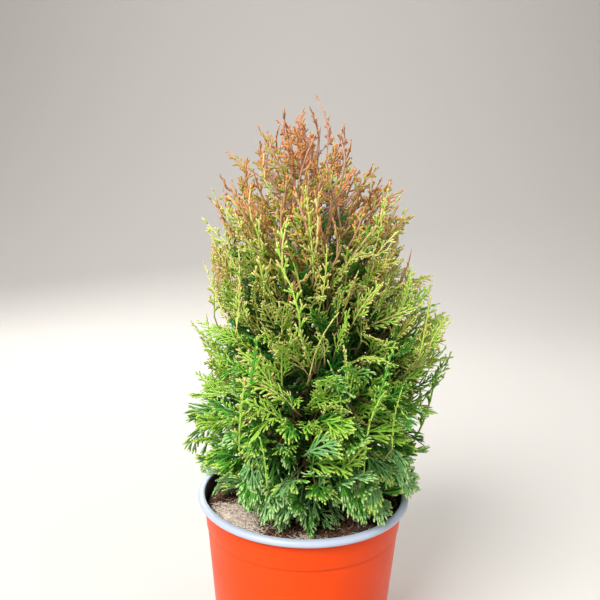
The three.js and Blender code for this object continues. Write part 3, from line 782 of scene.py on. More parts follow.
def draw_sprays(mass, rng, wanted, depth, habit, spacing):
    """Places sprays of one habit in a mass: their tips lie in a layer of the crown of the depth given."""
    tier, count = mass["tier"], mass["count"]
    tries = wanted * TRIES_PER_SPRAY
    low = tier["middle"] - LAYER_BELOW_MIDDLE
    z = low + (tier["top"] - low) * rng.random(tries) ** LOW_BIAS.get(mass["ring"], 1.0)
    azimuth = mass["azimuth"] + rng.uniform(-1, 1, tries) * (math.pi / count + TURN_OVERLAP)
    share = OUTERMOST_TIPS - depth[0] - (depth[1] - depth[0]) * rng.random(tries) ** OUTWARD_BIAS
    tips = crown_point(share, azimuth, z)
    wand = habit == "wand"
    steady, wide = (0.5, 3) if wand else (1, 1)
    rise = (WAND_RISE if wand else tier["rise"]) + rng.uniform(-RISE_SPREAD, RISE_SPREAD, tries) * steady
    rise = np.radians(rise)
    heading = azimuth + rng.uniform(-HEADING_SPREAD, HEADING_SPREAD, tries) * wide
    outward = np.stack([np.cos(heading), np.sin(heading), np.zeros(tries)], axis=1)
    direction = outward * np.cos(rise)[:, None] + np.array([0, 0, 1.0]) * np.sin(rise)[:, None]
    length = (HABITS["wand"] if wand else tier)["length"] * rng.uniform(*LENGTH_RANGE, tries)
    bases = tips - direction * length[:, None]
    middles = (tips + bases) / 2
    good = inside_space(mass, tips, TIP_SLACK) & inside_space(mass, middles, MIDDLE_SLACK)
    good &= trunk_gap(tips) > 3
    good &= (reach_share(middles) < 1.0) & (reach_share(bases) < 0.95) & (trunk_gap(bases) > 2)
    good &= (reach_share(tips) > 0.15) | (count == 1)
    if wand:
        good &= bases[:, 2] > WAND_FOOT_HEIGHT
    if depth[0] < INNER_DEPTH:
        good &= clear_of_openings(np.stack([tips, middles])).all(axis=0)
    chosen = []
    while len(chosen) < wanted and spacing > LEAST_SPACING:
        for i in np.flatnonzero(good):
            if len(chosen) >= wanted:
                break
            if chosen and np.min(np.linalg.norm(middles[chosen] - middles[i], axis=1)) < spacing:
                continue
            chosen.append(i)
            good[i] = False
        spacing *= SPACING_SHRINK
    chosen = np.array(chosen, int)
    return spray_batch(mass, habit, rng, tips[chosen], direction[chosen], length[chosen], tier["roll"])


def spray_batch(mass, habit, rng, tips, direction, length, roll):
    """Sprays of one habit that end at the tips given, with their turn, bend and tints."""
    count = len(tips)
    heights = np.array([row[0] for row in TINTS])
    aim = tips[:, 2] - 6 + rng.normal(0, TINT_SPREAD, count)
    if habit == "wand":
        aim = np.where(tips[:, 2] > APEX_HEIGHT, aim, np.clip(aim, *WAND_TINT_HEIGHTS))
    tint = np.argmin(np.abs(aim[:, None] - heights), axis=1)
    return dict(
        mass=mass, habit=habit, base=tips - direction * length[:, None], direction=direction, length=length,
        frame=frames(direction, np.radians(roll) * rng.uniform(-1, 1, count)),
        variant=rng.integers(0, VARIANTS, count), nod=rng.uniform(*HABITS[habit]["nod"], count),
        cup=rng.uniform(-0.2, 0.5, count), tint=tint, kept=np.ones(count, bool),
        arch=frames(direction, np.zeros(count))[:, 2] * rng.uniform(*HABITS[habit]["bulge"], count)[:, None],
        limit=rng.uniform(*SHOOT_REACH, count),
    )


def shoot_sprays(masses, templates, rng):
    """Single shoots with their tips at given places, each from the mass whose stem ends nearest below it."""
    for place in FURTHEST_SHOOTS + FRONT_SHOOTS:
        tip = np.array(place, float)
        out = tip - trunk_axis(tip[2])
        away = np.linalg.norm(out)
        direction = unit(unit(out + 1e-6) * min(1.5, 0.1 + away / 60) + np.array([0, 0, 1.0]))
        habit = "wand" if tip[2] > WAND_SHOOTS_ABOVE else "open" if tip[2] > OPEN_SHOOTS_ABOVE else "frond"
        length = np.array([rng.uniform(*SET_SHOOT_LENGTH) * (APEX_STRETCH if habit == "wand" else 1.0)])
        foot = tip - direction * length[0]
        mass = min(masses, key=lambda m: np.linalg.norm(m["stem"][-1] - foot))
        batch = spray_batch(mass, habit, rng, tip[None], direction[None], length, SET_SHOOT_ROLL)
        batch["limit"][:] = SET_SHOOT_REACH[0 if tip[2] < FREE_SHOOTS_ABOVE else 1]
        batch["slack"] = SET_SHOOT_SLACK
        ends = lay_sprays(batch, np.array([0]), templates[habit][batch["variant"][0]]["ends"])
        batch["base"] += tip - ends[0, 1]
        yield batch


def lay_sprays(batch, mine, local):
    """Bends a flat spray's points for each spray of a batch, and puts them in their places."""
    full = batch["length"][mine].reshape(-1, *[1] * (local.ndim - 1))
    local = local[None] * (batch["length"][mine] / HABITS[batch["habit"]]["length"]).reshape(full.shape + (1,))
    x, y = local[..., 0], local[..., 1]
    nod = batch["nod"][mine].reshape(full.shape)
    cup = batch["cup"][mine].reshape(full.shape)
    local[..., 2] -= nod * x ** 2 / full + cup * y ** 2 / full
    share = (x / full)[..., None]
    base = batch["base"][mine].reshape(len(mine), *[1] * (local.ndim - 2), 3)
    arch = batch["arch"][mine].reshape(base.shape) * 4 * share * (1 - share)
    return np.einsum("i...k,ikj->i...j", local, batch["frame"][mine]) + base + arch


def spray_bars(batch, templates, sheaves, makers):
    """Puts a batch of sprays into the sheaves of their tints.

    A shoot that would leave the crown is left out, and what grows on it with it."""
    mass, habit = batch["mass"], batch["habit"]
    for variant, row in sorted({*zip(batch["variant"].tolist(), batch["tint"].tolist())}):
        template = templates[habit][variant]
        mine = np.flatnonzero((batch["variant"] == variant) & (batch["tint"] == row))
        ends = lay_sprays(batch, mine, template["ends"])
        keep = (reach_share(ends) <= batch["limit"][mine][:, None]) & (ends[..., 2] >= hanging_limit(ends))
        keep &= (trunk_gap(ends) > SHOOT_TRUNK_GAP) & (ends[..., 2] < CROWN_TOP + SHOOT_OVER_TOP)
        keep &= inside_space(mass, ends, batch.get("slack", SHOOT_SLACK))
        keep &= clear_of_openings(ends, OPENING_SHARE)
        for number, parent in enumerate(template["parents"]):
            keep[:, number] &= keep[:, parent]
        height, stem, shade, light, tip = TINTS[row]
        branchlet = stem if height > BARE_STEMS_ABOVE else light
        names = dict(rachis=stem, branchlet=branchlet, deep=shade, finger=light, tip=tip)
        if habit == "inner":
            sunlit = ("olive", "green", "olive")[variant % 3]
            names = dict.fromkeys(PARTS, sunlit if mass["middle"] > SUNLIT_ABOVE else "deep_green")
        for part, shape in template["shapes"].items():
            placed = lay_sprays(batch, mine, shape["points"])
            kept = keep[:, shape["numbers"]]
            uv = np.broadcast_to(shape["uv"][None], placed.shape[:3] + (2,))
            if kept.any():
                sheaves[names[part]].add(placed[kept], uv[kept], len(PARTS[part]))
                makers[names[part]].add(mass["name"])
        batch["kept"][mine] = keep[:, 0]


def twig_bars(batch, rng, radius, sheaf):
    """The twigs that carry a batch of sprays, each from about the place on the stem where it bends least."""
    stem = batch["mass"]["stem"]
    base, direction = batch["base"][batch["kept"]], batch["direction"][batch["kept"]]
    if not len(base):
        return
    reach = base[:, None] - stem[None, 2:]
    length = np.linalg.norm(reach, axis=2)
    turn = np.einsum("isk,ik->is", reach / np.maximum(length, 1e-6)[..., None], direction)
    best = np.argmin(length * (1.6 - turn) * rng.uniform(0.75, 1.3, length.shape), axis=1)
    foot = stem[2:][best]
    span = np.linalg.norm(base - foot, axis=1)[:, None]
    bend = base - direction * span * 0.45
    head = base + direction * 2.0
    steps = 5
    path = bent_line(foot[:, None], bend[:, None], head[:, None], steps)
    sheaf.add(*tube_points(path, np.linspace(radius, radius * 0.7, steps)[None].repeat(len(path), 0), 4))


def tube_points(paths, radii, sides):
    """Closed tubes along paths, as bars: an end point, rings, and an end point."""
    along = unit(np.gradient(paths, axis=1))
    span = paths[:, -1:] - paths[:, :1]
    level = np.stack([-span[..., 1], span[..., 0] + 1e-6, np.zeros(span.shape[:2])], axis=-1)
    other = unit(np.cross(level, along))
    side = np.cross(other, along)
    turn = np.arange(sides) / sides * 2 * math.pi
    ring = side[:, :, None] * np.cos(turn)[:, None] + other[:, :, None] * np.sin(turn)[:, None]
    rings = paths[:, :, None] + ring * radii[:, :, None, None]
    count, steps = paths.shape[:2]
    body = rings.reshape(count, steps * sides, 3)
    points = np.concatenate([paths[:, :1], body, paths[:, -1:]], axis=1)
    strides = np.linalg.norm(np.diff(paths, axis=1), axis=2)
    travel = np.concatenate([np.zeros((count, 1)), np.cumsum(strides, 1)], 1)
    u = np.concatenate([travel[:, :1], travel.repeat(sides, axis=1), travel[:, -1:]], axis=1)
    v = np.concatenate([[0.5], np.tile(turn / (2 * math.pi), steps), [0.5]])
    uv = np.stack([u, np.broadcast_to(v, u.shape)], axis=2)
    return points, uv, steps, sides


# ---- materials ----

COLOUR = "NodeSocketColor"
NUMBER = "NodeSocketFloat"


def new_group(name, inputs, outputs):
    """A shader node group with named sockets, and its nodes for input and output."""
    group = bpy.data.node_groups.new(name, "ShaderNodeTree")
    for label, kind, value in inputs:
        socket = group.interface.new_socket(name=label, in_out="INPUT", socket_type=kind)
        socket.default_value = value
    for label, kind in outputs:
        group.interface.new_socket(name=label, in_out="OUTPUT", socket_type=kind)
    return group, group.nodes.new("NodeGroupInput"), group.nodes.new("NodeGroupOutput")


def wire(tree, *pairs):
    for source, target in pairs:
        tree.links.new(source, target)


def math_node(tree, operation, first, second=None, clamp=False):
    node = tree.nodes.new("ShaderNodeMath")
    node.operation = operation
    node.use_clamp = clamp
    for socket, value in zip(node.inputs, (first, second)):
        if value is None:
            continue
        if isinstance(value, (int, float)):
            socket.default_value = value
        else:
            tree.links.new(value, socket)
    return node.outputs[0]


def noise_node(tree, vector, scale, detail=4.0, roughness=0.6):
    node = tree.nodes.new("ShaderNodeTexNoise")
    node.inputs["Detail"].default_value = detail
    node.inputs["Roughness"].default_value = roughness
    tree.links.new(vector, node.inputs["Vector"])
    if isinstance(scale, (int, float)):
        node.inputs["Scale"].default_value = scale
    else:
        tree.links.new(scale, node.inputs["Scale"])
    return node.outputs["Fac"]


def mix_colours(tree, mask, first, second):
    node = tree.nodes.new("ShaderNodeMix")
    node.data_type = "RGBA"
    for socket, value in zip((node.inputs[0], node.inputs[6], node.inputs[7]), (mask, first, second)):
        if isinstance(value, bpy.types.NodeSocket):
            tree.links.new(value, socket)
        else:
            socket.default_value = value
    return node.outputs[2]


def rgba(colour, light=1.0):
    return (*(min(1.0, c * light) for c in colour), 1.0)


def contrast(tree, value, low, gain):
    """How far a value stands above a low one, times a gain, held between 0 and 1."""
    return math_node(tree, "MULTIPLY", math_node(tree, "SUBTRACT", value, low), gain, clamp=True)


def axes(tree, coordinates):
    """The three coordinates of a place, apart."""
    split = tree.nodes.new("ShaderNodeSeparateXYZ")
    tree.links.new(tree.nodes.new("ShaderNodeTexCoord").outputs[coordinates], split.inputs[0])
    return split.outputs


def mottle_group():
    """Soft patches of a second colour, with matching roughness and fine height."""
    group, given, made = new_group(
        "Mottle",
        (("Colour", COLOUR, (0.5, 0.5, 0.5, 1)), ("Second colour", COLOUR, (0.2, 0.2, 0.2, 1)),
         ("Patch scale", NUMBER, 60.0), ("Grain scale", NUMBER, 900.0), ("Amount", NUMBER, 0.5),
         ("Roughness", NUMBER, 0.6), ("Roughness change", NUMBER, 0.15)),
        (("Colour", COLOUR), ("Roughness", NUMBER), ("Height", NUMBER)),
    )
    place = group.nodes.new("ShaderNodeTexCoord").outputs["Object"]
    patches = noise_node(group, place, given.outputs["Patch scale"])
    grain = noise_node(group, place, given.outputs["Grain scale"], 3.0)
    mask = math_node(group, "MULTIPLY", contrast(group, patches, 0.35, 3.2), given.outputs["Amount"], clamp=True)
    colour = mix_colours(group, mask, given.outputs["Colour"], given.outputs["Second colour"])
    uneven = math_node(group, "SUBTRACT", patches, 0.5)
    swing = math_node(group, "MULTIPLY", uneven, given.outputs["Roughness change"])
    wire(
        group,
        (colour, made.inputs["Colour"]),
        (math_node(group, "ADD", given.outputs["Roughness"], swing, clamp=True), made.inputs["Roughness"]),
        (grain, made.inputs["Height"]),
    )
    return group


def scale_leaf_group():
    """Overlapping pairs of scale leaves along a finger, from its own UV map, with painted shade darkening the
    crease where each pair overlaps the next.
    """
    group, given, made = new_group(
        "Scale leaves",
        (("Colour", COLOUR, (0.1, 0.3, 0.05, 1)), ("Seam colour", COLOUR, (0.02, 0.1, 0.02, 1)),
         ("Seam amount", NUMBER, 0.45), ("Chevron", NUMBER, 0.55)),
        (("Colour", COLOUR), ("Height", NUMBER)),
    )
    along, across, _ = axes(group, "UV")
    middle = math_node(group, "ABSOLUTE", math_node(group, "SUBTRACT", across, 0.5))
    slant = math_node(group, "MULTIPLY", middle, given.outputs["Chevron"])
    phase = math_node(group, "FRACT", math_node(group, "ADD", along, slant))
    # Painted shade: each scale pair turns to the darker colour towards the crease where the next pair overlaps it.
    overlap_shade = math_node(group, "MULTIPLY", math_node(group, "POWER", phase, 5.0), given.outputs["Seam amount"])
    colour = mix_colours(group, overlap_shade, given.outputs["Colour"], given.outputs["Seam colour"])
    wire(
        group,
        (colour, made.inputs["Colour"]),
        (math_node(group, "SUBTRACT", 1.0, math_node(group, "POWER", phase, 3.0)), made.inputs["Height"]),
    )
    return group


def bark_group():
    """Fibrous bark: long fissures along the limb and fine grain."""
    group, given, made = new_group(
        "Bark",
        (("Colour", COLOUR, (0.2, 0.12, 0.08, 1)), ("Fissure colour", COLOUR, (0.05, 0.03, 0.02, 1)),
         ("Fissure scale", NUMBER, 420.0), ("Roughness", NUMBER, 0.85)),
        (("Colour", COLOUR), ("Roughness", NUMBER), ("Height", NUMBER)),
    )
    stretch = group.nodes.new("ShaderNodeMapping")
    stretch.inputs["Scale"].default_value = (1.0, 1.0, 0.12)
    group.links.new(group.nodes.new("ShaderNodeTexCoord").outputs["Object"], stretch.inputs["Vector"])
    fissures = noise_node(group, stretch.outputs[0], given.outputs["Fissure scale"], 5.0, 0.7)
    mask = contrast(group, fissures, 0.4, 4.0)
    colour = mix_colours(group, mask, given.outputs["Fissure colour"], given.outputs["Colour"])
    worn = math_node(group, "MULTIPLY", mask, 0.15)
    wire(
        group,
        (colour, made.inputs["Colour"]),
        (math_node(group, "SUBTRACT", given.outputs["Roughness"], worn), made.inputs["Roughness"]),
        (fissures, made.inputs["Height"]),
    )
    return group


def effect(name, build):
    return bpy.data.node_groups.get(name) or build()


def new_material(name, specular=0.4):
    """A material with its shader, and the shader and tree to wire."""
    material = bpy.data.materials.new(name)
    material.use_nodes = True
    shader = material.node_tree.nodes["Principled BSDF"]
    shader.inputs["Specular IOR Level"].default_value = specular
    return material, shader, material.node_tree


def place_group(tree, group, **values):
    node = tree.nodes.new("ShaderNodeGroup")
    node.node_tree = group
    for label, value in values.items():
        node.inputs[label.replace("_", " ")].default_value = value
    return node


def add_bump(tree, shader, height, distance, strength=1.0):
    bump = tree.nodes.new("ShaderNodeBump")
    bump.inputs["Strength"].default_value = strength
    bump.inputs["Distance"].default_value = distance
    wire(tree, (height, bump.inputs["Height"]), (bump.outputs[0], shader.inputs["Normal"]))


def wire_shader(tree, shader, node):
    """Takes a shader's colour and roughness from a group."""
    wire(
        tree,
        (node.outputs["Colour"], shader.inputs["Base Color"]),
        (node.outputs["Roughness"], shader.inputs["Roughness"]),
    )


def foliage_material(name, colour):
    material, shader, tree = new_material(f"Thuja {name.replace('_', ' ')}", 0.35)
    scales = place_group(
        tree, effect("Scale leaves", scale_leaf_group), Colour=rgba(colour), Seam_colour=rgba(colour, 0.45)
    )
    mottle = place_group(
        tree, effect("Mottle", mottle_group), Second_colour=rgba(colour, 0.62), Patch_scale=130.0,
        Grain_scale=1500.0, Amount=0.4, Roughness=0.52, Roughness_change=0.3,
    )
    wire(tree, (scales.outputs["Colour"], mottle.inputs["Colour"]))
    wire_shader(tree, shader, mottle)
    add_bump(tree, shader, scales.outputs["Height"], 0.0003)
    return material


def bark_material(name, colour, scale, fissure=0.35, young=None):
    """Bark of one colour, or one that turns to the young wood's colour towards the top."""
    material, shader, tree = new_material(name, 0.25)
    bark = place_group(
        tree, effect("Bark", bark_group), Colour=rgba(colour), Fissure_colour=rgba(colour, fissure),
        Fissure_scale=scale,
    )
    wire_shader(tree, shader, bark)
    add_bump(tree, shader, bark.outputs["Height"], 0.0006)
    if young:
        share = contrast(tree, axes(tree, "Object")[2], YOUNG_WOOD_ABOVE * MM, 14.0)
        tree.links.new(mix_colours(tree, share, bark.outputs["Colour"], young), shader.inputs["Base Color"])
    return material


def ground_material(name, colour, shade, patch):
    """Loose matt stuff, with patches of its own colour at a share of its light."""
    material, shader, tree = new_material(name, 0.2)
    mottle = place_group(
        tree, effect("Mottle", mottle_group), Colour=rgba(colour), Second_colour=rgba(colour, shade),
        Patch_scale=patch, Grain_scale=1600.0, Amount=0.8, Roughness=0.92, Roughness_change=0.1,
    )
    wire_shader(tree, shader, mottle)
    add_bump(tree, shader, mottle.outputs["Height"], 0.0008)
    return material


def plastic_material(name, colour, shade, roughness, specular, coat):
    """Moulded plastic: faint patches, fine grain and scuffs that change its gloss."""
    material, shader, tree = new_material(name, specular)
    mottle = place_group(
        tree, effect("Mottle", mottle_group), Colour=rgba(colour), Second_colour=rgba(colour, shade),
        Patch_scale=26.0, Grain_scale=700.0, Amount=0.35, Roughness=roughness, Roughness_change=0.25,
    )
    wire_shader(tree, shader, mottle)
    shader.inputs["Coat Weight"].default_value = coat
    shader.inputs["Coat Roughness"].default_value = 0.18
    add_bump(tree, shader, mottle.outputs["Height"], 0.00012)
    return material


def pot_material(colours, sizes):
    """The wall's plastic, with the darker inside told apart by its distance from the axis, and a painted shadow
    line just under the band.
    """
    material = plastic_material("Pot plastic", colours.pot, 0.85, 0.38, 0.18, 0.03)
    tree = material.node_tree
    shader = tree.nodes["Principled BSDF"]
    outside = shader.inputs["Base Color"].links[0].from_socket
    x, y, z = axes(tree, "Object")
    squares = [math_node(tree, "MULTIPLY", axis, axis) for axis in (x, y)]
    radius = math_node(tree, "SQRT", math_node(tree, "ADD", *squares))
    slope = (sizes.wall_top_radius - sizes.wall_foot_radius) / (
        sizes.height - sizes.rim_depth / 2 - sizes.floor_thickness
    )
    middle = sizes.wall_foot_radius - sizes.wall_thickness - slope * sizes.floor_thickness + 0.00025
    wall = math_node(tree, "ADD", math_node(tree, "MULTIPLY", z, slope), middle)
    outer = math_node(tree, "GREATER_THAN", radius, wall)
    inner = math_node(tree, "GREATER_THAN", z, sizes.floor_thickness * 0.9)
    inside = math_node(tree, "MULTIPLY", math_node(tree, "SUBTRACT", 1.0, outer), inner)
    # Painted shadow: a thin dark line on the wall just under the band's foot, where the band's step would cast
    # shade.
    band_foot = sizes.height - sizes.rim_depth / 2 - sizes.band_height
    away = math_node(tree, "ABSOLUTE", math_node(tree, "SUBTRACT", band_foot, z))
    near_step = math_node(tree, "SUBTRACT", 1.0, math_node(tree, "MULTIPLY", away, 1100.0))
    painted_band_shadow = math_node(tree, "MULTIPLY", math_node(tree, "MAXIMUM", near_step, 0.0), 0.34)
    outside = mix_colours(tree, painted_band_shadow, outside, rgba(colours.pot, 0.3))
    colour = mix_colours(tree, inside, outside, rgba(colours.pot_inside))
    tree.links.new(colour, shader.inputs["Base Color"])
    return material


# ---- making pieces ----

def start_piece():
    if bpy.context.object and bpy.context.object.mode != "OBJECT":
        bpy.ops.object.mode_set(mode="OBJECT")
    bpy.ops.object.select_all(action="DESELECT")


def activate(piece):
    start_piece()
    piece.select_set(True)
    bpy.context.view_layer.objects.active = piece


def place_piece(piece, name, material, slot, nodes):
    """Names a finished piece, gives it its finish and ties it to the frame."""
    piece.name = name
    piece.data.name = name
    piece.data.materials.clear()
    piece.data.materials.append(material)
    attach(piece, BODY)
    if nodes:
        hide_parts(*nodes)
    return piece


def place_sheaf(sheaf, name, material, slot, nodes):
    for piece in sheaf.meshes(name):
        place_piece(piece, piece.name, material, slot, nodes)


def joined(pieces):
    start_piece()
    for piece in pieces:
        piece.select_set(True)
    bpy.context.view_layer.objects.active = pieces[0]
    bpy.ops.object.join()
    return bpy.context.object


def clean_mesh():
    """Merges the doubled points of the active piece and turns its normals outward."""
    bpy.ops.object.mode_set(mode="EDIT")
    bpy.ops.mesh.select_all(action="SELECT")
    bpy.ops.mesh.remove_doubles(threshold=1e-6)
    bpy.ops.mesh.normals_make_consistent(inside=False)
    bpy.ops.object.mode_set(mode="OBJECT")


def apply_modifier(piece, kind, **settings):
    activate(piece)
    bpy.ops.object.modifier_add(type=kind)
    modifier = piece.modifiers[-1]
    for name, value in settings.items():
        setattr(modifier, name, value)
    bpy.ops.object.modifier_apply(modifier=modifier.name)


def turned_piece(profile, segments):
    """A round body: a ring is extruded and resized along a profile of (radius, height), and its ends closed.

    A profile that comes back to its first point makes a ring with a hole."""
    start_piece()
    radius, height = profile[0]
    bpy.ops.mesh.primitive_circle_add(vertices=segments, radius=radius, location=(0, 0, height))
    piece = bpy.context.object
    bpy.ops.object.transform_apply(location=True, rotation=True, scale=True)
    bpy.ops.object.mode_set(mode="EDIT")
    bpy.ops.mesh.select_mode(type="VERT")
    bpy.ops.mesh.select_all(action="SELECT")
    hollow = profile[0] == profile[-1]
    if not hollow:
        bpy.ops.mesh.edge_face_add()
        bpy.ops.mesh.select_all(action="SELECT")
    for new_radius, new_height in profile[1:]:
        bpy.ops.mesh.extrude_region_move(
            MESH_OT_extrude_region={"use_dissolve_ortho_edges": False},
            TRANSFORM_OT_translate={"value": (0, 0, new_height - height)},
        )
        share = new_radius / radius
        bpy.ops.transform.resize(value=(share, share, 1), center_override=(0, 0, new_height))
        radius, height = new_radius, new_height
    clean_mesh()
    return piece


def smooth(piece, angle=35):
    activate(piece)
    bpy.ops.object.shade_smooth_by_angle(angle=math.radians(angle))


def displace(piece, scale, strength, group=""):
    """Raises a surface, or a group of its points, by a cloudy texture, and applies it."""
    texture = bpy.data.textures.new("relief", "CLOUDS")
    texture.noise_scale = scale
    apply_modifier(
        piece, "DISPLACE", texture=texture, texture_coords="LOCAL", strength=strength, mid_level=0.5,
        vertex_group=group,
    )
    bpy.data.textures.remove(texture)


def rounded(corners, radius_mm=0.5, steps=4):
    """A profile whose corners are rounded; the first and last points stay."""
    points = [corners[0]]
    for before, corner, after in zip(corners, corners[1:], corners[2:]):
        a, b, c = (Vector(p) for p in (before, corner, after))
        near = min(radius_mm * MM, (a - b).length * 0.45, (c - b).length * 0.45)
        first = b + (a - b).normalized() * near
        last = b + (c - b).normalized() * near
        for i in range(steps + 1):
            t = i / steps
            points.append(tuple((1 - t) ** 2 * first + 2 * t * (1 - t) * b + t ** 2 * last))
    points.append(corners[-1])
    return points


class ThujaPiece:
    """What the operators share."""

    bl_options = {"REGISTER", "UNDO"}

    @property
    def pot(self):
        return bpy.context.scene.thuja_pot

    @property
    def crown(self):
        return bpy.context.scene.thuja_crown

    @property
    def colours(self):
        return bpy.context.scene.thuja_colours


class THUJA_OT_pot_wall(ThujaPiece, bpy.types.Operator):
    """Model the pot's tapered wall with its band, foot ring and drain holes"""

    bl_idname = "thuja.pot_wall"
    bl_label = "Pot wall"

    def execute(self, context):
        pot = self.pot
        top = pot.height - pot.rim_depth / 2
        band_foot = top - pot.band_height
        band_radius = pot.wall_foot_radius + (pot.wall_top_radius - pot.wall_foot_radius) * band_foot / top
        pad, ring = 0.022, 0.058
        stepped = band_radius - pot.band_step
        corners = [
            (0.004, 0.0), (pad, 0.0), (pad + 0.002, pot.foot_recess), (ring - 0.002, pot.foot_recess),
            (ring, 0.0), (pot.wall_foot_radius - 0.0015, 0.0), (pot.wall_foot_radius, 0.0018),
            (stepped, band_foot - 0.0026), (stepped - 0.0002, band_foot - 0.0007), (band_radius, band_foot),
            (pot.wall_top_radius, top), (pot.wall_top_radius - pot.wall_thickness, top),
            (pot.wall_foot_radius - pot.wall_thickness, pot.floor_thickness), (0.004, pot.floor_thickness),
        ]
        piece = turned_piece(rounded(corners, 0.25, 3), pot.segments)
        self.drill(piece, (pad + ring) / 2)
        smooth(piece)
        place_piece(piece, "pot_body", pot_material(self.colours, pot), "pot", ["pot_wall"])
        return {"FINISHED"}

    def drill(self, piece, ring_radius):
        """Cuts six drain holes through the floor."""
        holes = 6
        drills = []
        start_piece()
        for i in range(holes):
            turn = i / holes * 2 * math.pi
            place = (ring_radius * math.cos(turn), ring_radius * math.sin(turn), 0.003)
            bpy.ops.mesh.primitive_cylinder_add(
                vertices=32, radius=self.pot.drain_hole_radius, depth=0.02, location=place
            )
            drills.append(bpy.context.object)
        drill = joined(drills)
        apply_modifier(piece, "BOOLEAN", operation="DIFFERENCE", solver="EXACT", object=drill)
        bpy.data.objects.remove(drill)


class THUJA_OT_pot_rim(ThujaPiece, bpy.types.Operator):
    """Model the pot's rolled rim"""

    bl_idname = "thuja.pot_rim"
    bl_label = "Pot rim"

    def execute(self, context):
        pot = self.pot
        seat = pot.height - pot.rim_depth / 2 + 0.0003
        outer, inner = pot.rim_radius, pot.rim_inner_radius
        top, foot = pot.height, pot.height - pot.rim_depth
        corners = [
            (inner, seat), (pot.wall_top_radius + 0.0016, seat), (pot.wall_top_radius + 0.0022, foot + 0.0006),
            (outer - 0.0016, foot), (outer - 0.0004, foot + 0.0011), (outer, foot + 0.0027),
            (outer - 0.0008, top - 0.0008), (outer - 0.0024, top), (inner + 0.001, top),
            (inner, top - 0.0009), (inner, seat),
        ]
        piece = turned_piece(rounded(corners, 0.9, 3), pot.segments)
        smooth(piece, 50)
        material = plastic_material("Rim plastic", self.colours.rim, 0.82, 0.42, 0.5, 0.25)
        place_piece(piece, "pot_lip", material, "rim", ["pot_rim"])
        return {"FINISHED"}


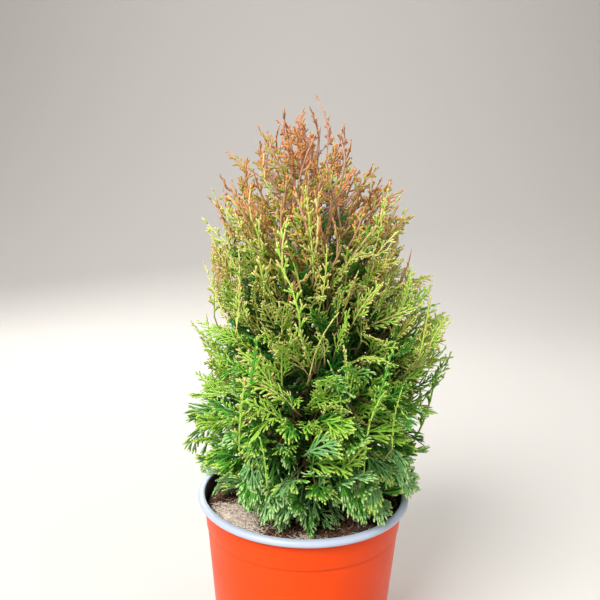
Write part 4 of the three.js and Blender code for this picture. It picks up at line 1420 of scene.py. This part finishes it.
class THUJA_OT_soil(ThujaPiece, bpy.types.Operator):
    """Model the peat with its clods, fibres and dry thatch"""

    bl_idname = "thuja.soil"
    bl_label = "Soil"

    def execute(self, context):
        pot = self.pot
        foot = pot.wall_foot_radius - pot.wall_thickness - 0.0006
        low = pot.floor_thickness + 0.0003
        edge_z = pot.soil_top - pot.soil_edge_drop
        slope = (pot.wall_top_radius - pot.wall_foot_radius) / (pot.height - pot.floor_thickness)
        edge = foot + slope * (edge_z - low) - 0.0006
        profile = [(0.002, low), (foot, low), (edge, edge_z)]
        rings = 30
        for i in range(1, rings + 1):
            radius = edge * (1 - i / rings) + 0.0015
            profile.append((radius, pot.soil_top - pot.soil_edge_drop * (radius / edge) ** 2))
        piece = turned_piece(profile, 96)
        group = piece.vertex_groups.new(name="surface")
        for vertex in piece.data.vertices:
            radius = math.hypot(vertex.co.x, vertex.co.y)
            if vertex.co.z > edge_z - 0.001 and radius < edge - 0.001:
                group.add([vertex.index], 1.0, "REPLACE")
        self.mound(piece)
        displace(piece, 0.012, 0.004, "surface")
        displace(piece, 0.003, 0.0016, "surface")
        smooth(piece, 60)
        material = ground_material("Peat", self.colours.peat, 0.35, 260.0)
        place_piece(piece, "peat_bed", material, "soil", ["soil"])
        self.add_litter(np.random.default_rng(self.crown.seed + 1))
        return {"FINISHED"}

    def mound(self, piece):
        """Heaps the soil where the dry thatch lies."""
        group = piece.vertex_groups.new(name="heap")
        x, y, wide, high = THATCH_HEAP
        for vertex in piece.data.vertices:
            away = math.hypot(vertex.co.x / MM - x, vertex.co.y / MM - y)
            if vertex.co.z > 0.13 and math.hypot(vertex.co.x, vertex.co.y) < 0.083:
                group.add([vertex.index], math.exp(-(away / wide) ** 2), "REPLACE")
        apply_modifier(
            piece, "DISPLACE", direction="Z", strength=high * MM, mid_level=0.0, vertex_group=group.name
        )

    def add_litter(self, rng):
        """Crumbs, fibres and pale thatch that lie on the peat."""
        for name, colour, shade, spots, lengths, radius, arch in LITTER:
            sheaf = Sheaf()
            places = np.concatenate([self.scatter(rng, count, patch) for count, patch in spots])
            self.strew(rng, sheaf, places, lengths, radius, arch)
            material = ground_material(name.replace("_", " ").title(), getattr(self.colours, colour), shade, 300.0)
            place_sheaf(sheaf, name, material, "soil", [])

    def scatter(self, rng, count, patch):
        """Places on the soil, all over it or round one patch of (x, y, radius)."""
        if patch:
            x, y, wide = patch
            points = np.stack([rng.normal(middle, wide * 0.55, count) for middle in (x, y)], axis=1)
        else:
            turn = rng.uniform(0, 2 * math.pi, count)
            radius = STREWN_RADIUS * np.sqrt(rng.uniform(0.02, 1, count))
            points = radius[:, None] * np.stack([np.cos(turn), np.sin(turn)], axis=1)
        return points[np.hypot(points[:, 0], points[:, 1]) < LITTER_MIDDLE_RADIUS]

    def strew(self, rng, sheaf, places, lengths, radius, arch):
        """Lays short curved bars on the soil."""
        count = len(places)
        radial = np.hypot(places[:, 0], places[:, 1])
        ground = self.pot.soil_top / MM - self.pot.soil_edge_drop / MM * (radial / SOIL_RADIUS) ** 2
        x, y, wide, high = THATCH_HEAP
        ground += high * np.exp(-((places[:, 0] - x) ** 2 + (places[:, 1] - y) ** 2) / wide ** 2)
        turn = rng.uniform(0, 2 * math.pi, count)
        length = rng.uniform(*lengths, count)
        t = np.linspace(-0.5, 0.5, 4)
        bend = rng.uniform(-0.35, 0.35, count)
        x = places[:, :1] + np.cos(turn)[:, None] * t * length[:, None]
        y = places[:, 1:] + np.sin(turn)[:, None] * t * length[:, None]
        x -= np.sin(turn)[:, None] * (bend * length)[:, None] * t ** 2 * 2
        y += np.cos(turn)[:, None] * (bend * length)[:, None] * t ** 2 * 2
        lift = rng.uniform(0.2, 1.6, count)[:, None]
        lift = lift + arch * rng.uniform(0, 2.4, count)[:, None] * (1 - 4 * t ** 2)
        tilt = rng.uniform(-1, 1, count)[:, None] * t * length[:, None] * 0.3
        paths = np.stack([x, y, ground[:, None] + lift + tilt], axis=2)
        far = np.hypot(paths[..., 0], paths[..., 1]).max(axis=1)
        paths = paths[far < LITTER_END_RADIUS]
        radii = rng.uniform(0.7, 1.2, len(paths))[:, None] * radius * np.array([0.7, 1.0, 1.0, 0.6])
        sheaf.add(*tube_points(paths, radii, 4))


class THUJA_OT_limbs(ThujaPiece, bpy.types.Operator):
    """Model the trunk and the boughs with the relief of their bark"""

    bl_idname = "thuja.limbs"
    bl_label = "Trunk and boughs"

    def execute(self, context):
        young = rgba(self.colours.bare_twig, 0.7)
        bark = bark_material("Thuja bark", self.colours.bark, 420.0, young=young)
        heights = np.linspace(TRUNK_FOOT, TRUNK_TOP, 150)
        trunk = self.limb(trunk_axis(heights), trunk_radius_at(heights), 6)
        displace(trunk, 0.006, 0.0012)
        displace(trunk, 0.0022, 0.0006)
        smooth(trunk, 60)
        place_piece(trunk, "trunk_bark", bark, "bark", ["trunk"])
        boughs = []
        for mass in plan_masses(Dice(self.crown.seed)):
            if "bough" in mass:
                radii = mass["thick"] * np.linspace(1, BOUGH_TAPER, len(mass["bough"]))
                boughs.append(self.limb(mass["bough"], radii, 3))
        wood = joined(boughs)
        displace(wood, 0.004, 0.0007)
        smooth(wood, 60)
        nodes = [name for name in frame["nodes"] if name.startswith("bough_")]
        place_piece(wood, "bough_bark", bark, "bark", nodes)
        return {"FINISHED"}

    def limb(self, points, radii, roundness):
        """A tapering limb: a curve of round section, made a mesh."""
        start_piece()
        bpy.ops.curve.primitive_nurbs_path_add()
        curve = bpy.context.object
        curve.data.splines.clear()
        spline = curve.data.splines.new("POLY")
        spline.points.add(len(points) - 1)
        for point, place, radius in zip(spline.points, points, radii):
            point.co = (*(place * MM), 1.0)
            point.radius = radius
        curve.data.dimensions = "3D"
        curve.data.bevel_depth = MM
        curve.data.bevel_resolution = roundness
        curve.data.use_fill_caps = True
        bpy.ops.object.convert(target="MESH")
        clean_mesh()
        return bpy.context.object


class THUJA_OT_foliage(ThujaPiece, bpy.types.Operator):
    """Grow the stems, twigs and flat sprays of scale leaves of every mass of foliage"""

    bl_idname = "thuja.foliage"
    bl_label = "Foliage"

    def execute(self, context):
        crown, colours = self.crown, self.colours
        rng = np.random.default_rng(crown.seed)
        masses = plan_masses(Dice(crown.seed))
        templates = {
            habit: [grow_habit(habit, rng, crown) for _ in range(VARIANTS)] for habit in HABITS
        }
        sheaves = {tint: Sheaf() for tint in TINT_SLOTS}
        makers = {tint: set() for tint in TINT_SLOTS}
        twigs, bare = Sheaf(), Sheaf()
        radius = crown.twig_radius / MM
        for mass in masses:
            tier = mass["tier"]
            wood = bare if mass["ring"] in ("crest", "leader") else twigs
            thick = mass["thick"] * BOUGH_TAPER
            radii = np.linspace(thick, min(thick, STEM_TIP_RADIUS if wood is twigs else 0.9), STEM_STEPS)
            radii = np.append(radii, np.linspace(0.85, 0.45, len(mass["stem"]) - STEM_STEPS))
            wood.add(*tube_points(mass["stem"][None], radii[None], 8))
            outer = round(crown.outer_sprays * tier["outer"])
            inner = round(crown.inner_sprays * tier["inner"])
            layers = [(outer, OUTER_LAYER.get(mass["ring"], OUTER_DEPTH), tier["habit"], OUTER_SPACING)]
            if inner:
                shade = SHADE_DEPTH if tier["cored"] else OPEN_SHADE_DEPTH
                layers.append((inner, shade, "inner", SHADE_SPACING))
            if not tier["cored"]:
                layers.append((LOOSE_SPRAYS, LOOSE_DEPTH, tier["habit"], LOOSE_SPACING))
            if tier["wands"]:
                layers.append((tier["wands"], WAND_DEPTH, "wand", WAND_SPACING))
            for wanted, depth, habit, spacing in layers:
                batch = draw_sprays(mass, rng, wanted, depth, habit, spacing)
                spray_bars(batch, templates, sheaves, makers)
                twig_bars(batch, rng, radius, wood)
        for batch in shoot_sprays(masses, templates, rng):
            spray_bars(batch, templates, sheaves, makers)
            twig_bars(batch, rng, radius, bare if batch["base"][0, 2] > YOUNG_WOOD_ABOVE else twigs)
        for foot, tip, thick in BARE_LIMBS:
            foot, tip = np.array(foot, float), np.array(tip, float)
            path = bent_line(foot, (foot * 0.6 + tip * 0.4) + np.array([0, 0, -4]), tip, 9)
            bare.add(*tube_points(path[None], thick * np.linspace(1, 0.5, 9)[None], 8))
        for tint, slot in TINT_SLOTS.items():
            material = foliage_material(tint, getattr(colours, tint))
            place_sheaf(sheaves[tint], f"sprays_{tint}", material, slot, sorted(makers[tint]))
        for name, sheaf, colour in (("twigs_green", twigs, colours.twig), ("twigs_bare", bare, colours.bare_twig)):
            material = bark_material(name.replace("_", " ").title(), colour, 900.0, 0.65)
            place_sheaf(sheaf, name, material, "bark", [])
        return {"FINISHED"}


class THUJA_OT_stage(ThujaPiece, bpy.types.Operator):
    """Set up the pale floor, the soft lights and the camera"""

    bl_idname = "thuja.stage"
    bl_label = "Stage"

    def execute(self, context):
        stage = context.scene.thuja_stage
        self.add_floor()
        self.add_light("Key", (-0.9, -1.3, 1.7), 1.1, stage.key_power)
        self.add_light("Fill", (1.4, -0.9, 0.7), 1.4, stage.fill_power)
        self.add_light("Back", (-0.7, 1.5, 1.4), 1.0, stage.back_power)
        self.add_light("Backdrop", (0.0, 0.6, 3.2), 2.5, stage.backdrop_power, (0, 4.5, 1.6))
        world = bpy.data.worlds.new("Studio")
        context.scene.world = world
        world.use_nodes = True
        background = world.node_tree.nodes["Background"]
        background.inputs["Color"].default_value = (1.0, 1.0, 1.0, 1.0)
        background.inputs["Strength"].default_value = stage.sky
        context.scene.view_settings.view_transform = "Standard"
        start_piece()
        turn = (math.radians(90) - stage.camera_dip, stage.camera_roll, 0)
        place = (stage.camera_x, stage.camera_y, stage.camera_z)
        bpy.ops.object.camera_add(location=place, rotation=turn)
        camera = bpy.context.object
        camera.name = "Camera"
        camera.data.lens = stage.lens
        camera.data.sensor_width = 36.0
        context.scene.camera = camera
        return {"FINISHED"}

    def add_floor(self):
        """A pale floor that curves up into a wall behind."""
        start_piece()
        bpy.ops.mesh.primitive_plane_add(size=14, location=(0, -2.5, 0))
        floor = bpy.context.object
        floor.name = "floor"
        bpy.ops.object.transform_apply(location=True, rotation=False, scale=False)
        for vertex in floor.data.vertices:
            vertex.select = vertex.co.y > 0
        for edge in floor.data.edges:
            edge.select = all(floor.data.vertices[i].select for i in edge.vertices)
        bpy.ops.object.mode_set(mode="EDIT")
        bpy.ops.mesh.select_mode(type="EDGE")
        bpy.ops.mesh.extrude_region_move(TRANSFORM_OT_translate={"value": (0, 0, 6)})
        bpy.ops.object.mode_set(mode="OBJECT")
        for edge in floor.data.edges:
            ends = [floor.data.vertices[i].co for i in edge.vertices]
            edge.select = all(abs(end.y - 4.5) + abs(end.z) < 1e-4 for end in ends)
        bpy.ops.object.mode_set(mode="EDIT")
        bpy.ops.mesh.bevel(offset=3.0, segments=32, affect="EDGES")
        bpy.ops.object.mode_set(mode="OBJECT")
        bpy.ops.object.shade_smooth()
        material, shader, _ = new_material("Pale floor", 0.2)
        shader.inputs["Base Color"].default_value = rgba(self.colours.floor)
        shader.inputs["Roughness"].default_value = 0.8
        floor.data.materials.append(material)
        floor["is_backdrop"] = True

    def add_light(self, name, place, size, power, target=(0, 0, 0.28)):
        start_piece()
        aim = Vector(target) - Vector(place)
        turn = aim.to_track_quat("-Z", "Y").to_euler()
        bpy.ops.object.light_add(type="AREA", location=place, rotation=turn)
        light = bpy.context.object
        light.name = name
        light.data.size = size
        light.data.energy = power


class THUJA_PT_sidebar(bpy.types.Panel):
    """Sizes, colours and pieces of the potted thuja"""

    bl_idname = "THUJA_PT_sidebar"
    bl_label = "Potted Thuja"
    bl_space_type = "VIEW_3D"
    bl_region_type = "UI"
    bl_category = "Thuja"

    def draw(self, context):
        layout = self.layout
        for operator in OPERATORS:
            layout.operator(operator.bl_idname)
        for owner, group in PROPERTIES:
            box = layout.box()
            for name in group.__annotations__:
                box.prop(getattr(context.scene, owner), name)


OPERATORS = (
    THUJA_OT_stage, THUJA_OT_pot_wall, THUJA_OT_pot_rim, THUJA_OT_soil, THUJA_OT_limbs, THUJA_OT_foliage,
)
PROPERTIES = (
    ("thuja_pot", ThujaPotSizes), ("thuja_crown", ThujaCrownSizes),
    ("thuja_colours", ThujaColours), ("thuja_stage", ThujaStageSizes),
)


def register():
    for owner, group in PROPERTIES:
        bpy.utils.register_class(group)
        setattr(bpy.types.Scene, owner, bpy.props.PointerProperty(type=group))
    for operator in OPERATORS:
        bpy.utils.register_class(operator)
    bpy.utils.register_class(THUJA_PT_sidebar)


def unregister():
    bpy.utils.unregister_class(THUJA_PT_sidebar)
    for operator in reversed(OPERATORS):
        bpy.utils.unregister_class(operator)
    for owner, group in reversed(PROPERTIES):
        delattr(bpy.types.Scene, owner)
        bpy.utils.unregister_class(group)


def main():
    register()
    bpy.ops.thuja.stage()
    bpy.ops.thuja.pot_wall()
    bpy.ops.thuja.pot_rim()
    bpy.ops.thuja.soil()
    bpy.ops.thuja.limbs()
    bpy.ops.thuja.foliage()
    boxes = (("cad", CAD_BOX), ("visual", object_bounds()))
    sizes = {name: [list(corner) for corner in box] for name, box in boxes}


if __name__ == "__main__":
    main()
